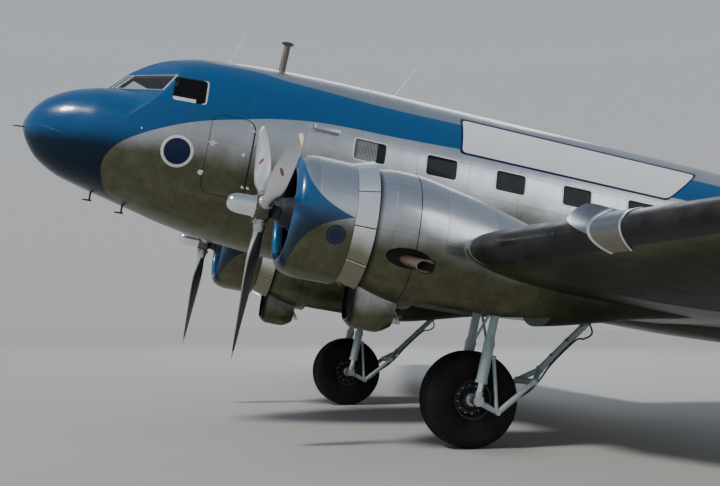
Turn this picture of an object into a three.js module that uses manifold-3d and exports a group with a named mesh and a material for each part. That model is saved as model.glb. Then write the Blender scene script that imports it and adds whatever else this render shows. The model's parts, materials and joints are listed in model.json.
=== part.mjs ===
// A twin-engined, low-wing propeller airliner of the 1930s, parked on its tail-wheel landing gear.
// Lengths are millimetres. The airframe is drawn in its own level frame: x runs aft from the nose tip,
// y to starboard and z up from the nose tip. One group then tips it nose up onto its three wheels.
import * as THREE from 'three';
import { mergeVertices } from 'three/addons/utils/BufferGeometryUtils.js';
import Module from 'manifold-3d';

const wasm = await Module();
wasm.setup();

const SEAT = 0.4; // gap left between two pieces that touch
const RUNNING = 8; // gap round a moving surface
const HINGE_PIN = 14;
const PORT = -1;
const STARBOARD = 1;

// Attitude on the ground
const GROUND_ANGLE = THREE.MathUtils.degToRad(9.5);

// Main landing gear: wheels hang below each engine
const ENGINE_Y = 2820;
const AXLE = { x: 5710, z: -2570 };
const TYRE = {
  radius: 565, width: 430, rim: 225, segments: 24, hub: { half: 125, bore: 40.4, radius: 95 },
};
const LEGS = {
  spread: 285, top: { x: 5800, z: -1000 }, upper: 62, lower: 46, slide: 0.6, axle: 40,
  brace: [0.24, 0.62], braceRadius: 16, lug: [42, 26],
};
const forkPoint = (x, y, z) => ({ at: (end) => [x, -ENGINE_Y + end * y, z] });
const DRAG = {
  lug: { x: 5975, z: -2670 }, pin: 30, radius: 42,
  elbow: forkPoint(6400, 240, -2255), join: forkPoint(6560, 0, -2090), top: forkPoint(7130, 0, -1390),
};
const TAIL_TYRE = {
  x: 17100, radius: 280, width: 190, rim: 115, segments: 18, hub: { half: 62, bore: 18.4, radius: 42 },
};
// Tail wheel fork, in a frame at its axle: how far the axle trails, crown height and the swivel post
const TAIL_FORK = {
  trail: 110, crown: 330, arm: { y: 125, radius: 20 }, axle: 18,
  post: { radius: 32, length: 150 }, strut: { from: 30, to: 800, lean: 60, radius: 58 },
};

// Fuselage sections: [x, deck height, roof height, belly height, half width, height of greatest width]
// The deck is the nose's own top; the roof is the cabin's, which the windscreen planes cut off in front.
const FUSELAGE_SECTIONS = [
  [6, 55, 55, -60, 58, -2],
  [60, 180, 180, -185, 185, 0],
  [210, 375, 375, -385, 370, 0],
  [380, 495, 495, -505, 500, 0],
  [560, 585, 585, -590, 610, 0],
  [750, 645, 645, -645, 705, 5],
  [920, 688, 760, -690, 785, 10],
  [1030, 700, 850, -718, 827, 15],
  [1130, 710, 920, -742, 865, 20],
  [1240, 722, 1000, -768, 905, 25],
  [1360, 733, 1085, -795, 945, 30],
  [1500, 743, 1165, -827, 988, 40],
  [1650, 752, 1232, -865, 1027, 50],
  [1780, 757, 1284, -898, 1056, 55],
  [1950, 760, 1334, -940, 1088, 62],
  [2200, 765, 1385, -990, 1126, 72],
  [2600, 768, 1430, -1055, 1172, 90],
  [3100, 770, 1465, -1108, 1212, 103],
  [3800, 770, 1490, -1155, 1238, 112],
  [4800, 770, 1500, -1165, 1245, 115],
  [9500, 770, 1500, -1165, 1245, 115],
  [10800, 770, 1488, -1130, 1225, 130],
  [12200, 770, 1438, -1000, 1150, 160],
  [13600, 770, 1345, -820, 1020, 215],
  [15000, 760, 1215, -600, 835, 290],
  [16200, 740, 1075, -395, 645, 345],
  [17300, 700, 920, -200, 455, 385],
  [18000, 640, 800, -60, 320, 400],
  [18600, 560, 670, 90, 195, 400],
  [18950, 500, 560, 220, 100, 395],
  [19050, 440, 470, 320, 45, 395],
];
const FUSELAGE_ROUND = 2.15; // exponent of the section, 2 would be an ellipse
const FUSELAGE_POINTS = 24;

// Windscreen: two flat panes in a V, each on a plane through these three points of the port side
const WINDSCREEN_PLANE = [[950, 0, 690], [1220, 0, 985], [1690, -930, 640]];
const GLASS = { thickness: 10, sunk: 8, margin: 2, clear: 60 };
// Pane corners, [distance from the centre line, height]
const WINDSCREEN_PANE = [[62, 722], [880, 668], [775, 925], [62, 942]];
const SIDE_WINDOW = { x: [1800, 2230], z: [555, 905] };
// Where the fuselage's sections join, and the section behind each joint
const FUSELAGE_JOINTS = [
  [300, 'fuselage_nose'],
  [4000, 'fuselage_cabin'],
  [12050, 'fuselage_door_section'],
  [13350, 'fuselage_tail'],
];
// Passenger door, port side: hinged at its front edge, with a vestibule behind it
const DOOR = {
  x: [12350, 13050],
  z: [-520, 920],
  thickness: 30,
  gap: 8,
  rearGap: 16,
  depth: -620,
  hinge: { axis: [12338, -1150], heights: [-60, 380], reach: 60, root: 62 },
  knuckle: { height: 70, radius: 20, pin: 8, lug: 22 },
};

// Wing sections: [y, leading edge x, chord, leading edge z, thickness over chord]
const CENTRE_SECTION = { halfSpan: 4270, section: [5150, 4330, -905, 0.15] };
const CENTRE_TABLE = [[0, ...CENTRE_SECTION.section], [CENTRE_SECTION.halfSpan, ...CENTRE_SECTION.section]];
const OUTER_WING = [
  [4270, 5150, 4330, -905, 0.15],
  [7000, 5906, 3491, -661, 0.14],
  [10000, 6737, 2569, -399, 0.122],
  [12500, 7430, 1801, -180, 0.108],
  [13500, 7707, 1493, -92, 0.1],
  [14000, 7925, 1205, -55, 0.092],
  [14300, 8140, 880, -34, 0.085],
  [14440, 8335, 540, -26, 0.075],
  [14480, 8460, 300, -24, 0.06],
];
const WING_CAMBER = 0.02;
const INCIDENCE = THREE.MathUtils.degToRad(2);
const AEROFOIL_POINTS = 9; // on each surface
const FLAP = { from: 0.8, to: 0.985, front: 30, back: 9, inner: [1330, 4180], outer: [4360, 8850], pin: 6 };
const FLAP_PIN_REACH = { inner: RUNNING - SEAT, outer: RUNNING - 1 };
const AILERON = { y: [9000, 13450], from: 0.77, radii: [97, 43] };
const JACK_PAD = { centre: [6300, 1750, -1216], width: 130, depth: 120 };

// Tail sections: [y or z, leading edge x, trailing edge x, thickness]
const TAILPLANE = [
  [0, 15800, 18420, 250],
  [600, 15950, 18420, 240],
  [2000, 16420, 18380, 200],
  [3000, 16800, 18270, 155],
  [3600, 17080, 18130, 115],
  [3900, 17300, 17970, 80],
  [4030, 17480, 17820, 45],
  [4065, 17570, 17730, 22],
];
const TAILPLANE_Z = 520;
const ELEVATOR = { x: 17450, y: [520, 3420], radii: [97, 80] }; // the horn balance is outboard of y
const FIN = [
  [560, 15000, 19380, 250],
  [1190, 14700, 19560, 245],
  [1330, 15300, 19600, 240],
  [1600, 15860, 19650, 232],
  [2000, 16320, 19610, 218],
  [2600, 16800, 19430, 192],
  [3200, 17230, 19160, 160],
  [3600, 17530, 18950, 132],
  [3900, 17800, 18760, 100],
  [4080, 18020, 18590, 62],
  [4150, 18180, 18450, 30],
];
const RUDDER = { x: 18050, z: [905, 3320], radii: [98, 90] }; // the horn balance is above z

// Nacelle sections: [x, top z, bottom z, half width]
const NACELLE = [
  [3960, -200, -1500, 640],
  [4150, -140, -1560, 690],
  [4350, -110, -1620, 710],
  [4560, -110, -1660, 715],
  [5050, -180, -1700, 700],
  [5500, -270, -1700, 675],
  [6000, -400, -1660, 640],
  [6600, -520, -1560, 580],
  [7200, -620, -1420, 490],
  [7800, -700, -1270, 370],
  [8300, -780, -1180, 230],
  [8550, -850, -1120, 90],
];
const NACELLE_ROUND = 2.25;
const NACELLE_POINTS = 20;
const THRUST_Z = -840;
const WHEEL_WELL = { x: [4740, 6420], halfWidth: 400, top: -960 };

// Oil cooler scoop sections: [x, top z, bottom z]
const OIL_COOLER = {
  sections: [[4070, -1480, -1900], [4180, -1480, -1975], [4420, -1480, -1980], [4590, -1480, -1900]],
  halfWidth: 215, wall: 14, pocket: 150,
};
const EXHAUST = { from: [4330, -3160, -1130], to: [4780, -3530, -1215], radius: 82, wall: 6, bore: 260 };
const AERIAL = { x: 3270, foot: 1380, top: 1945, bar: 130 };

// Engine, cowling and propeller, all on the thrust line
const COWL = { front: 3170, rear: 3830, radius: 705, wall: 16, mouth: 500, ring: 3470, ringRadius: 620 };
const COWL_FLAPS = { count: 10, sweep: 30.5, pitch: 32, hinge: 14, length: 225, open: 18, thickness: 7 };
const ENGINE = { nose: 3034, case: 3330, rear: 3959.6, rows: [3452, 3690], cylinders: 7, foot: 300, top: 631.6, bore: 72 };
const HUB = { front: 2830, back: 3033.6, radius: 150 };
const DOME = { front: 2510, radius: 142 };
const BLADE_PLANE = 2931;
const BLADE_ANGLES = { [PORT]: -71.9, [STARBOARD]: -74.7 }; // first blade from straight up, degrees
const BLADE_ADVANCE = 3260; // geometric pitch, mm a turn
// Blade sections: [radius, chord, thickness]
const BLADE_POINTS = 8;
const BLADE = [
  [120, 120, 118],
  [300, 125, 108],
  [620, 245, 52],
  [900, 285, 36],
  [1200, 270, 26],
  [1500, 215, 18],
  [1680, 130, 12],
  [1752, 60, 8],
];

const blue = new THREE.MeshStandardMaterial({ color: 0x0f5a9a, roughness: 0.3, metalness: 0.1 });
const skin = new THREE.MeshStandardMaterial({ color: 0xb9bec4, roughness: 0.35, metalness: 0.9 });
const glass = new THREE.MeshStandardMaterial({ color: 0x27313a, roughness: 0.1, metalness: 0 });
const rubber = new THREE.MeshStandardMaterial({ color: 0x1c1c1d, roughness: 0.85, metalness: 0 });
const gearPaint = new THREE.MeshStandardMaterial({ color: 0x8fa3a6, roughness: 0.5, metalness: 0.3 });
const steel = new THREE.MeshStandardMaterial({ color: 0x6e6a66, roughness: 0.45, metalness: 0.8 });
const polished = new THREE.MeshStandardMaterial({ color: 0xd9dbdd, roughness: 0.15, metalness: 1 });
const fabric = new THREE.MeshStandardMaterial({ color: 0xb4b8bd, roughness: 0.6, metalness: 0.4 });

// Geometry helpers

/** Closes a stack of equal rings into one body, each end with a fan round its middle. */
function loft(rings) {
  const count = rings[0].length;
  const points = rings.flat();
  const index = [];
  for (let r = 0; r < rings.length - 1; r++) {
    for (let i = 0; i < count; i++) {
      const a = r * count + i;
      const b = r * count + (i + 1) % count;
      index.push(a, b, b + count, a, b + count, a + count);
    }
  }
  for (const r of [0, rings.length - 1]) {
    const middle = rings[r].reduce((sum, p) => sum.add(p), new THREE.Vector3()).divideScalar(count);
    points.push(middle);
    for (let i = 0; i < count; i++) {
      const a = r * count + i;
      const b = r * count + (i + 1) % count;
      index.push(...(r === 0 ? [points.length - 1, b, a] : [points.length - 1, a, b]));
    }
  }
  const geometry = new THREE.BufferGeometry();
  geometry.setAttribute('position', new THREE.Float32BufferAttribute(points.flatMap((p) => p.toArray()), 3));
  geometry.setIndex(index);
  return geometry;
}

/** A closed three.js geometry as a solid, turned the right way out. */
function solid(geometry, matrix = null) {
  const bare = new THREE.BufferGeometry();
  bare.setAttribute('position', geometry.getAttribute('position').clone());
  if (geometry.index) bare.setIndex(geometry.index.clone());
  if (matrix) bare.applyMatrix4(matrix);
  const merged = mergeVertices(bare, 1e-3);
  const vertProperties = new Float32Array(merged.getAttribute('position').array);
  const triVerts = new Uint32Array(merged.index.array);
  const made = new wasm.Manifold(new wasm.Mesh({ numProp: 3, vertProperties, triVerts }));
  if (made.volume() > 0) return made;
  for (let t = 0; t < triVerts.length; t += 3) [triVerts[t], triVerts[t + 1]] = [triVerts[t + 1], triVerts[t]];
  return new wasm.Manifold(new wasm.Mesh({ numProp: 3, vertProperties, triVerts }));
}

/** The solid back as a three.js geometry. */
function geometryOf(body) {
  const { numProp, vertProperties, triVerts } = body.getMesh();
  const positions = new Float32Array(triVerts.length * 3);
  triVerts.forEach((v, i) => positions.set(vertProperties.subarray(v * numProp, v * numProp + 3), i * 3));
  const geometry = new THREE.BufferGeometry();
  geometry.setAttribute('position', new THREE.BufferAttribute(positions, 3));
  geometry.computeVertexNormals();
  return geometry;
}

const joined = (bodies) => bodies.reduce((sum, body) => sum.add(body));
const at = (x, y, z) => new THREE.Matrix4().makeTranslation(x, y, z);
const vector = (p) => new THREE.Vector3(...p);

/** A solid box between two corners. */
function block([x0, x1], [y0, y1], [z0, z1], matrix = null) {
  const box = new THREE.BoxGeometry(Math.abs(x1 - x0), Math.abs(y1 - y0), Math.abs(z1 - z0));
  box.translate((x0 + x1) / 2, (y0 + y1) / 2, (z0 + z1) / 2);
  return solid(box, matrix);
}

/** A round bar between two points, with a radius at each end. */
function bar(from, to, radius, endRadius = radius, sides = 8) {
  const a = vector(from);
  const b = vector(to);
  const length = a.distanceTo(b);
  const turn = new THREE.Quaternion().setFromUnitVectors(
    new THREE.Vector3(0, 1, 0), b.clone().sub(a).normalize());
  const matrix = new THREE.Matrix4().compose(a.add(b).multiplyScalar(0.5), turn, new THREE.Vector3(1, 1, 1));
  return solid(new THREE.CylinderGeometry(endRadius, radius, length, sides), matrix);
}

/** A solid of revolution about the x axis, from a closed outline of [x, radius] points. */
function turned(outline, sides = 32) {
  const profile = outline.map(([x, radius]) => new THREE.Vector2(radius, x));
  if (outline[0][1] > 0) profile.push(profile[0].clone());
  const geometry = new THREE.LatheGeometry(profile, sides);
  return solid(geometry, new THREE.Matrix4().makeRotationZ(-Math.PI / 2));
}

/** A plate whose outline lies on a plane, from depth `below` to `above` it along the normal. */
function panel(corners, normal, below, above) {
  const ring = (offset) => corners.map((p) => p.clone().addScaledVector(normal, offset));
  return solid(loft([ring(-below), ring(above)]));
}

/** Corners of an outline drawn in towards their middle. */
function drawnIn(corners, margin) {
  const middle = corners.reduce((sum, p) => sum.add(p), new THREE.Vector3()).divideScalar(corners.length);
  return corners.map((p) => p.clone().addScaledVector(middle.clone().sub(p).normalize(), margin));
}

// Sections

const portWindscreen = new THREE.Plane().setFromCoplanarPoints(...WINDSCREEN_PLANE.map(vector));
if (portWindscreen.normal.x > 0) portWindscreen.negate();

/** Radius of a rounded section in one direction, from its half width and its height above or below. */
function sectionRadius(cos, sin, halfWidth, height, round) {
  return (Math.abs(cos / halfWidth) ** round + Math.abs(sin / height) ** round) ** (-1 / round);
}

/** One fuselage section, grown outwards by `grow`. */
function fuselageRing([x, deck, roof, belly, halfWidth, middle], grow = 0) {
  const { normal, constant } = portWindscreen;
  return Array.from({ length: FUSELAGE_POINTS }, (_, i) => {
    const angle = (i / FUSELAGE_POINTS) * 2 * Math.PI;
    const [cos, sin] = [Math.cos(angle), Math.sin(angle)];
    const radius = (height) => sectionRadius(cos, sin, halfWidth, height, FUSELAGE_ROUND);
    let reach = radius(middle - belly);
    if (sin > 0) {
      const lean = normal.z * sin - normal.y * Math.abs(cos);
      const toScreen = (-constant - normal.x * x - normal.z * middle) / lean;
      reach = Math.max(radius(deck - middle), Math.min(radius(roof - middle), toScreen));
    }
    return new THREE.Vector3(x, (reach + grow) * cos, middle + (reach + grow) * sin);
  });
}

const fuselageShape = (grow = 0) => solid(loft(FUSELAGE_SECTIONS.map((row) => fuselageRing(row, grow))));

/** Half thickness of a four-digit aerofoil, as a share of its chord. */
function halfThickness(share, thickness) {
  const s = share;
  return 5 * thickness * (0.2969 * Math.sqrt(s) - 0.126 * s - 0.3516 * s ** 2 + 0.2843 * s ** 3 - 0.1015 * s ** 4);
}

/** Camber line height of the wing's aerofoil, as a share of its chord, greatest at two fifths. */
function camberHeight(share, camber) {
  const peak = 0.4;
  return share < peak
    ? (camber / peak ** 2) * (2 * peak * share - share ** 2)
    : (camber / (1 - peak) ** 2) * (1 - 2 * peak + 2 * peak * share - share ** 2);
}

/** Aerofoil outline as [share of chord, height over chord], round the nose from the trailing edge. */
function aerofoil(thickness, camber) {
  const outline = [];
  for (const side of [1, -1]) {
    for (let i = 0; i < AEROFOIL_POINTS; i++) {
      const step = side > 0 ? AEROFOIL_POINTS - i : i;
      const share = (1 - Math.cos((Math.PI * step) / AEROFOIL_POINTS)) / 2;
      const height = camberHeight(share, camber) + side * halfThickness(share, thickness);
      outline.push([share, height]);
    }
  }
  return outline;
}

/** One wing section. */
function wingRing([y, x, chord, z, thickness], side, grow = 0) {
  return aerofoil(thickness + (2 * grow) / chord, WING_CAMBER).map(([share, height]) => {
    const along = share * (chord + 2 * grow) - grow;
    const up = height * chord;
    return new THREE.Vector3(
      x + along * Math.cos(INCIDENCE) + up * Math.sin(INCIDENCE),
      side * y,
      z - along * Math.sin(INCIDENCE) + up * Math.cos(INCIDENCE));
  });
}

/** A point of the wing between its table's rows: share of chord, and how far up the half thickness. */
function wingPoint(table, y, share, surface) {
  const next = table.findIndex((row) => row[0] >= y);
  const [a, b] = [table[Math.max(next - 1, 0)], table[next]];
  const mix = b[0] === a[0] ? 0 : (y - a[0]) / (b[0] - a[0]);
  const [, x, chord, z, thickness] = a.map((value, i) => THREE.MathUtils.lerp(value, b[i], mix));
  const height = camberHeight(share, WING_CAMBER) + surface * halfThickness(share, thickness);
  const [along, up] = [share * chord, height * chord];
  return new THREE.Vector3(
    x + along * Math.cos(INCIDENCE) + up * Math.sin(INCIDENCE), y,
    z - along * Math.sin(INCIDENCE) + up * Math.cos(INCIDENCE));
}

/** One section of the fin or tailplane: [station, leading edge x, trailing edge x, thickness]. */
function tailRing([station, front, back, thickness], upright, side = 1, grow = 0) {
  const chord = back - front;
  return aerofoil((thickness + 2 * grow) / chord, 0).map(([share, height]) => {
    const x = front - grow + share * (chord + 2 * grow);
    const across = height * chord;
    return upright
      ? new THREE.Vector3(x, across, station)
      : new THREE.Vector3(x, side * station, TAILPLANE_Z + across);
  });
}

/** A frame whose y axis lies along a hinge and whose x axis points aft. */
function hingeFrame(from, to) {
  const along = to.clone().sub(from).normalize();
  const up = new THREE.Vector3(1, 0, 0).cross(along).normalize();
  const aft = along.clone().cross(up);
  return new THREE.Matrix4().makeBasis(aft, along, up).setPosition(from);
}

/** The space of a hinged surface: a tapered round nose, all aft of it, and outboard of it the horn balance. */
function hingedSpace(frame, length, radii, grow, horn) {
  const reach = 6000;
  const end = horn ? reach : length + grow;
  const nose = new THREE.CylinderGeometry(radii[1] + grow, radii[0] + grow, length + 2 * grow, 16);
  nose.translate(0, length / 2, 0);
  const aft = block([0, reach], [-grow, end], [-reach / 4, reach / 4], frame);
  const space = solid(nose, frame).add(aft);
  return horn ? space.add(block([-reach, reach], [length - grow, reach], [-reach / 4, reach / 4], frame)) : space;
}

/** Splits a surface at a hinge into the fixed part and the moving part, with pins along the hinge. */
function hinged(whole, from, to, radii, horn = false) {
  const frame = hingeFrame(from, to);
  const length = from.distanceTo(to);
  const reach = RUNNING - SEAT;
  const ends = horn ? [[-reach, 60]] : [[-reach, 60], [length - 60, length + reach]];
  const pins = ends.map(([a, b]) => {
    const rod = new THREE.CylinderGeometry(HINGE_PIN, HINGE_PIN, b - a, 8);
    rod.translate(0, (a + b) / 2, 0);
    return solid(rod, frame);
  });
  return {
    fixed: whole.subtract(hingedSpace(frame, length, radii, RUNNING, horn)),
    moving: joined([whole.intersect(hingedSpace(frame, length, radii, 0, horn)), ...pins]),
  };
}

// Sub-parts

const aircraft = new THREE.Group();
aircraft.rotation.y = GROUND_ANGLE;

/** Adds one named piece to the aircraft. */
function add(name, body, material) {
  const mesh = new THREE.Mesh(geometryOf(body), material);
  mesh.name = name;
  aircraft.add(mesh);
}

const sideName = (side) => (side === PORT ? 'left' : 'right');
const placed = (body, matrix) => body.transform(matrix.toArray());

/** A port-side body, or its mirror image for the starboard side. */
const handed = (body, side) => (side === PORT ? body : body.mirror([0, 1, 0]));

/** Everything between two stations along the aircraft. */
const slice = (from, to) => block([from, to], [-20000, 20000], [-6000, 8000]);

// Wings

const centreWing = (grow) => solid(loft([
  wingRing([CENTRE_SECTION.halfSpan, ...CENTRE_SECTION.section], -1, grow),
  wingRing([CENTRE_SECTION.halfSpan, ...CENTRE_SECTION.section], 1, grow),
]));

/** One split flap lying in the wing's lower surface, or with `grow` the recess it leaves. */
function flapShape(table, [inner, outer], grow) {
  const back = grow > 0 ? 600 : 0;
  const under = grow > 0 ? 60 : 0;
  const rows = [inner - grow, outer + grow].map((y) => {
    const point = (share, aft, lift) => wingPoint(table, y, share, -1).add(new THREE.Vector3(aft, 0, lift));
    return [
      point(FLAP.from, -grow, -under),
      point(FLAP.from, -grow, FLAP.front + grow),
      point(FLAP.to, grow, FLAP.back + grow),
      point(FLAP.to, back, FLAP.back + grow),
      point(FLAP.to, back, -under),
      point(FLAP.to, 0, -under),
    ];
  });
  if (grow === 0) rows.forEach((row) => row.splice(3, 2));
  return solid(loft(rows));
}

/** Ends of a flap's hinge line, along the lower front edge. */
function flapHinge(table, [inner, outer]) {
  return [inner, outer].map((y) => wingPoint(table, y, FLAP.from, -1));
}

function flapWithPins(table, span, reach) {
  const [from, to] = flapHinge(table, span);
  const along = to.clone().sub(from).normalize();
  const pinFrom = from.clone().addScaledVector(along, -reach);
  const pinTo = to.clone().addScaledVector(along, reach);
  return flapShape(table, span, 0).add(bar(pinFrom.toArray(), pinTo.toArray(), FLAP.pin, FLAP.pin, 8));
}

function addWings() {
  let centre = centreWing(0);
  for (const side of [PORT, STARBOARD]) {
    centre = centre.subtract(handed(flapShape(CENTRE_TABLE, FLAP.inner, RUNNING).mirror([0, 1, 0]), side));
    const [x, y, z] = JACK_PAD.centre;
    const half = JACK_PAD.width / 2;
    centre = centre.add(block([x - half, x + half], [side * y - half, side * y + half], [z, z + JACK_PAD.depth]));
    const flap = flapWithPins(CENTRE_TABLE, FLAP.inner, FLAP_PIN_REACH.inner);
    add(`flap_inner_${sideName(side)}`, side === PORT ? flap.mirror([0, 1, 0]) : flap, skin);
  }
  add('wing_centre_section', centre, skin);

  const rows = OUTER_WING.map((row, i) => (i ? row : [row[0] + SEAT, ...row.slice(1)]));
  const whole = solid(loft(rows.map((row) => wingRing(row, 1))));
  const hinge = AILERON.y.map((y) => wingPoint(OUTER_WING, y, AILERON.from, 0));
  const { fixed, moving } = hinged(whole, ...hinge, AILERON.radii);
  const wing = fixed.subtract(flapShape(OUTER_WING, FLAP.outer, RUNNING));
  const flap = flapWithPins(OUTER_WING, FLAP.outer, FLAP_PIN_REACH.outer);
  for (const side of [PORT, STARBOARD]) {
    const own = (body) => (side === STARBOARD ? body : body.mirror([0, 1, 0]));
    add(`outer_wing_${sideName(side)}`, own(wing), skin);
    add(`aileron_${sideName(side)}`, own(moving), fabric);
    add(`flap_outer_${sideName(side)}`, own(flap), skin);
  }
}

// Tail

function addTail(fuselage) {
  const whole = solid(loft(TAILPLANE.map((row) => tailRing(row, false))));
  const hinge = ELEVATOR.y.map((y) => new THREE.Vector3(ELEVATOR.x, y, TAILPLANE_Z));
  const tailplane = hinged(whole, ...hinge, ELEVATOR.radii, true);
  for (const side of [PORT, STARBOARD]) {
    const own = (body) => (side === STARBOARD ? body : body.mirror([0, 1, 0]));
    add(`stabiliser_${sideName(side)}`, own(tailplane.fixed).subtract(fuselage), skin);
    add(`elevator_${sideName(side)}`, own(tailplane.moving), fabric);
  }
  const upright = solid(loft(FIN.map((row) => tailRing(row, true))));
  const post = RUDDER.z.map((z) => new THREE.Vector3(RUDDER.x, 0, z));
  const { fixed, moving } = hinged(upright, ...post, RUDDER.radii, true);
  add('fin', fixed.subtract(fuselage), skin);
  add('rudder', moving, fabric);
}

// Fuselage, its glass and its door

/** Corners of one windscreen pane, on its plane. */
function paneCorners(side) {
  const { normal, constant } = portWindscreen;
  return WINDSCREEN_PANE.map(([across, z]) => {
    const x = (-constant - normal.y * -across - normal.z * z) / normal.x;
    return new THREE.Vector3(x, side * across, z);
  });
}

function addFuselage(wing) {
  let body = fuselageShape().subtract(wing);
  const behindGlass = fuselageShape(-GLASS.sunk - GLASS.thickness);
  const glassFace = fuselageShape(-GLASS.sunk);
  for (const side of [PORT, STARBOARD]) {
    const corners = paneCorners(side);
    const normal = portWindscreen.normal.clone();
    normal.y *= side * PORT;
    body = body.subtract(panel(corners, normal, GLASS.sunk + GLASS.thickness + SEAT, GLASS.clear));
    add(`windscreen_${sideName(side)}`,
      panel(drawnIn(corners, GLASS.margin), normal, GLASS.sunk + GLASS.thickness, -GLASS.sunk), glass);

    const across = [side * 800, side * 1400];
    const { x, z } = SIDE_WINDOW;
    const pocket = block([x[0] - SEAT, x[1] + SEAT], across, [z[0] - SEAT, z[1] + SEAT]);
    body = body.subtract(pocket.subtract(fuselageShape(-GLASS.sunk - GLASS.thickness - SEAT)));
    add(`cockpit_window_${sideName(side)}`,
      glassFace.intersect(block(x, across, z)).subtract(behindGlass), glass);
  }

  const { x, z, thickness, depth, gap, rearGap } = DOOR;
  const doorway = block([x[0] - gap, x[1] + rearGap], [-1400, depth], [z[0] - gap, z[1] + gap]);
  const door = fuselageShape().intersect(block(x, [-1400, 0], z)).subtract(fuselageShape(-thickness));
  const hinges = doorHinges();
  body = body.subtract(doorway).add(hinges.fixed);
  add('passenger_door', door.add(hinges.moving), skin);

  const joints = [0, ...FUSELAGE_JOINTS.map(([station]) => station), 20000];
  ['nose_cap', ...FUSELAGE_JOINTS.map(([, name]) => name)].forEach((name, i) => {
    const from = i ? joints[i] + SEAT / 2 : -100;
    add(name, body.intersect(slice(from, joints[i + 1] - SEAT / 2)), i ? skin : blue);
  });
}

/** The passenger door's two hinges: lugs and pins on the fuselage, knuckles on the door. */
function doorHinges() {
  const { hinge, knuckle } = DOOR;
  const fixed = [];
  const moving = [];
  const [x, y] = hinge.axis;
  for (const z of hinge.heights) {
    const half = knuckle.height / 2;
    const lug = half + knuckle.lug;
    fixed.push(bar([x, y, z - lug], [x, y, z + lug], knuckle.pin, knuckle.pin, 12));
    for (const end of [-1, 1]) {
      const near = z + end * (half + SEAT);
      const far = z + end * lug;
      fixed.push(block([x - hinge.reach, x], [y - knuckle.radius, y + hinge.root], [near, far]));
    }
    const barrel = bar([x, y, z - half], [x, y, z + half], knuckle.radius, knuckle.radius, 16);
    const strap = block([x, x + hinge.reach], [y - knuckle.radius, y + knuckle.radius / 2], [z - half, z + half]);
    const foot = block([DOOR.x[0], x + hinge.reach], [y, y + hinge.root], [z - half, z + half]);
    const bore = bar([x, y, z - half - 5], [x, y, z + half + 5], knuckle.pin + SEAT, knuckle.pin + SEAT, 12);
    moving.push(joined([barrel, strap, foot]).subtract(bore));
  }
  return { fixed: joined(fixed), moving: joined(moving) };
}

// Power plants

function nacelleRing([x, top, bottom, halfWidth], grow) {
  const middle = (top + bottom) / 2;
  return Array.from({ length: NACELLE_POINTS }, (_, i) => {
    const angle = (i / NACELLE_POINTS) * 2 * Math.PI;
    const [cos, sin] = [Math.cos(angle), Math.sin(angle)];
    const reach = sectionRadius(cos, sin, halfWidth, (top - bottom) / 2, NACELLE_ROUND) + grow;
    return new THREE.Vector3(x, reach * cos - ENGINE_Y, middle + reach * sin);
  });
}

/** The port nacelle, with the open well that the wheel folds up into. */
function nacelleShape(grow = 0) {
  const { x, halfWidth, top } = WHEEL_WELL;
  const across = [-ENGINE_Y - halfWidth + grow, -ENGINE_Y + halfWidth - grow];
  return solid(loft(NACELLE.map((row) => nacelleRing(row, grow))))
    .subtract(block([x[0] + grow, x[1] - grow], across, [-2000, top - grow]));
}

function cowlingShape() {
  const { front, rear, radius, wall, mouth, ring, ringRadius } = COWL;
  const inner = radius - wall;
  const outline = [
    [front, mouth + 55], [front + 25, radius - 92], [front + 90, radius - 35], [front + 280, radius],
    [rear, radius], [rear, inner], [ring + 16, inner], [ring + 16, ringRadius], [ring - 16, ringRadius],
    [ring - 16, inner], [front + 150, inner - 35], [front + 110, mouth + 12], [front + 30, mouth + 10],
  ];
  return placed(turned(outline, 22).subtract(joined(cylinderRow(0, SEAT))), at(0, -ENGINE_Y, THRUST_Z));
}

/** The ring of flared exit flaps behind a cowling, open at the bottom. */
function cowlFlapsShape() {
  const { count, sweep, pitch, length, open, thickness, hinge } = COWL_FLAPS;
  const slope = THREE.MathUtils.degToRad(open);
  const from = COWL.rear + SEAT;
  const back = from + hinge + length * Math.cos(slope);
  const out = COWL.radius + length * Math.sin(slope);
  const outline = [
    [from, COWL.radius], [from + hinge, COWL.radius], [back, out],
    [back, out - thickness], [from + hinge, COWL.radius - COWL.wall], [from, COWL.radius - COWL.wall],
  ];
  let flaps = turned(outline, 30);
  const slot = block([from + hinge, back + 50], [-(pitch - sweep) * 6.5, (pitch - sweep) * 6.5], [400, 1000]);
  for (let i = 1; i < count; i++) {
    const turn = THREE.MathUtils.degToRad((i - count / 2) * pitch);
    flaps = flaps.subtract(placed(slot, new THREE.Matrix4().makeRotationX(turn)));
  }
  const half = THREE.MathUtils.degToRad(180 - (count / 2) * pitch);
  const side = Math.tan(half) * 1000;
  const gap = new THREE.Shape([
    new THREE.Vector2(0, 0), new THREE.Vector2(-side, -1000), new THREE.Vector2(side, -1000),
  ]);
  const wedge = new THREE.ExtrudeGeometry(gap, { depth: back - from, bevelEnabled: false });
  const toX = new THREE.Matrix4().makeBasis(
    new THREE.Vector3(0, 1, 0), new THREE.Vector3(0, 0, 1), new THREE.Vector3(1, 0, 0)).setPosition(from + hinge, 0, 0);
  return placed(flaps.subtract(solid(wedge, toX)), at(0, -ENGINE_Y, THRUST_Z));
}

/** One row of cylinders about the x axis. */
function cylinderRow(row, grow = 0) {
  const { rows, cylinders, foot, top, bore } = ENGINE;
  return Array.from({ length: cylinders }, (_, i) => {
    const angle = ((i + row / 2) / cylinders) * 2 * Math.PI;
    const out = (r) => [rows[row], r * Math.sin(angle), r * Math.cos(angle)];
    return bar(out(foot), out(top + grow), bore + grow, bore + grow, 6);
  });
}

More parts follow.
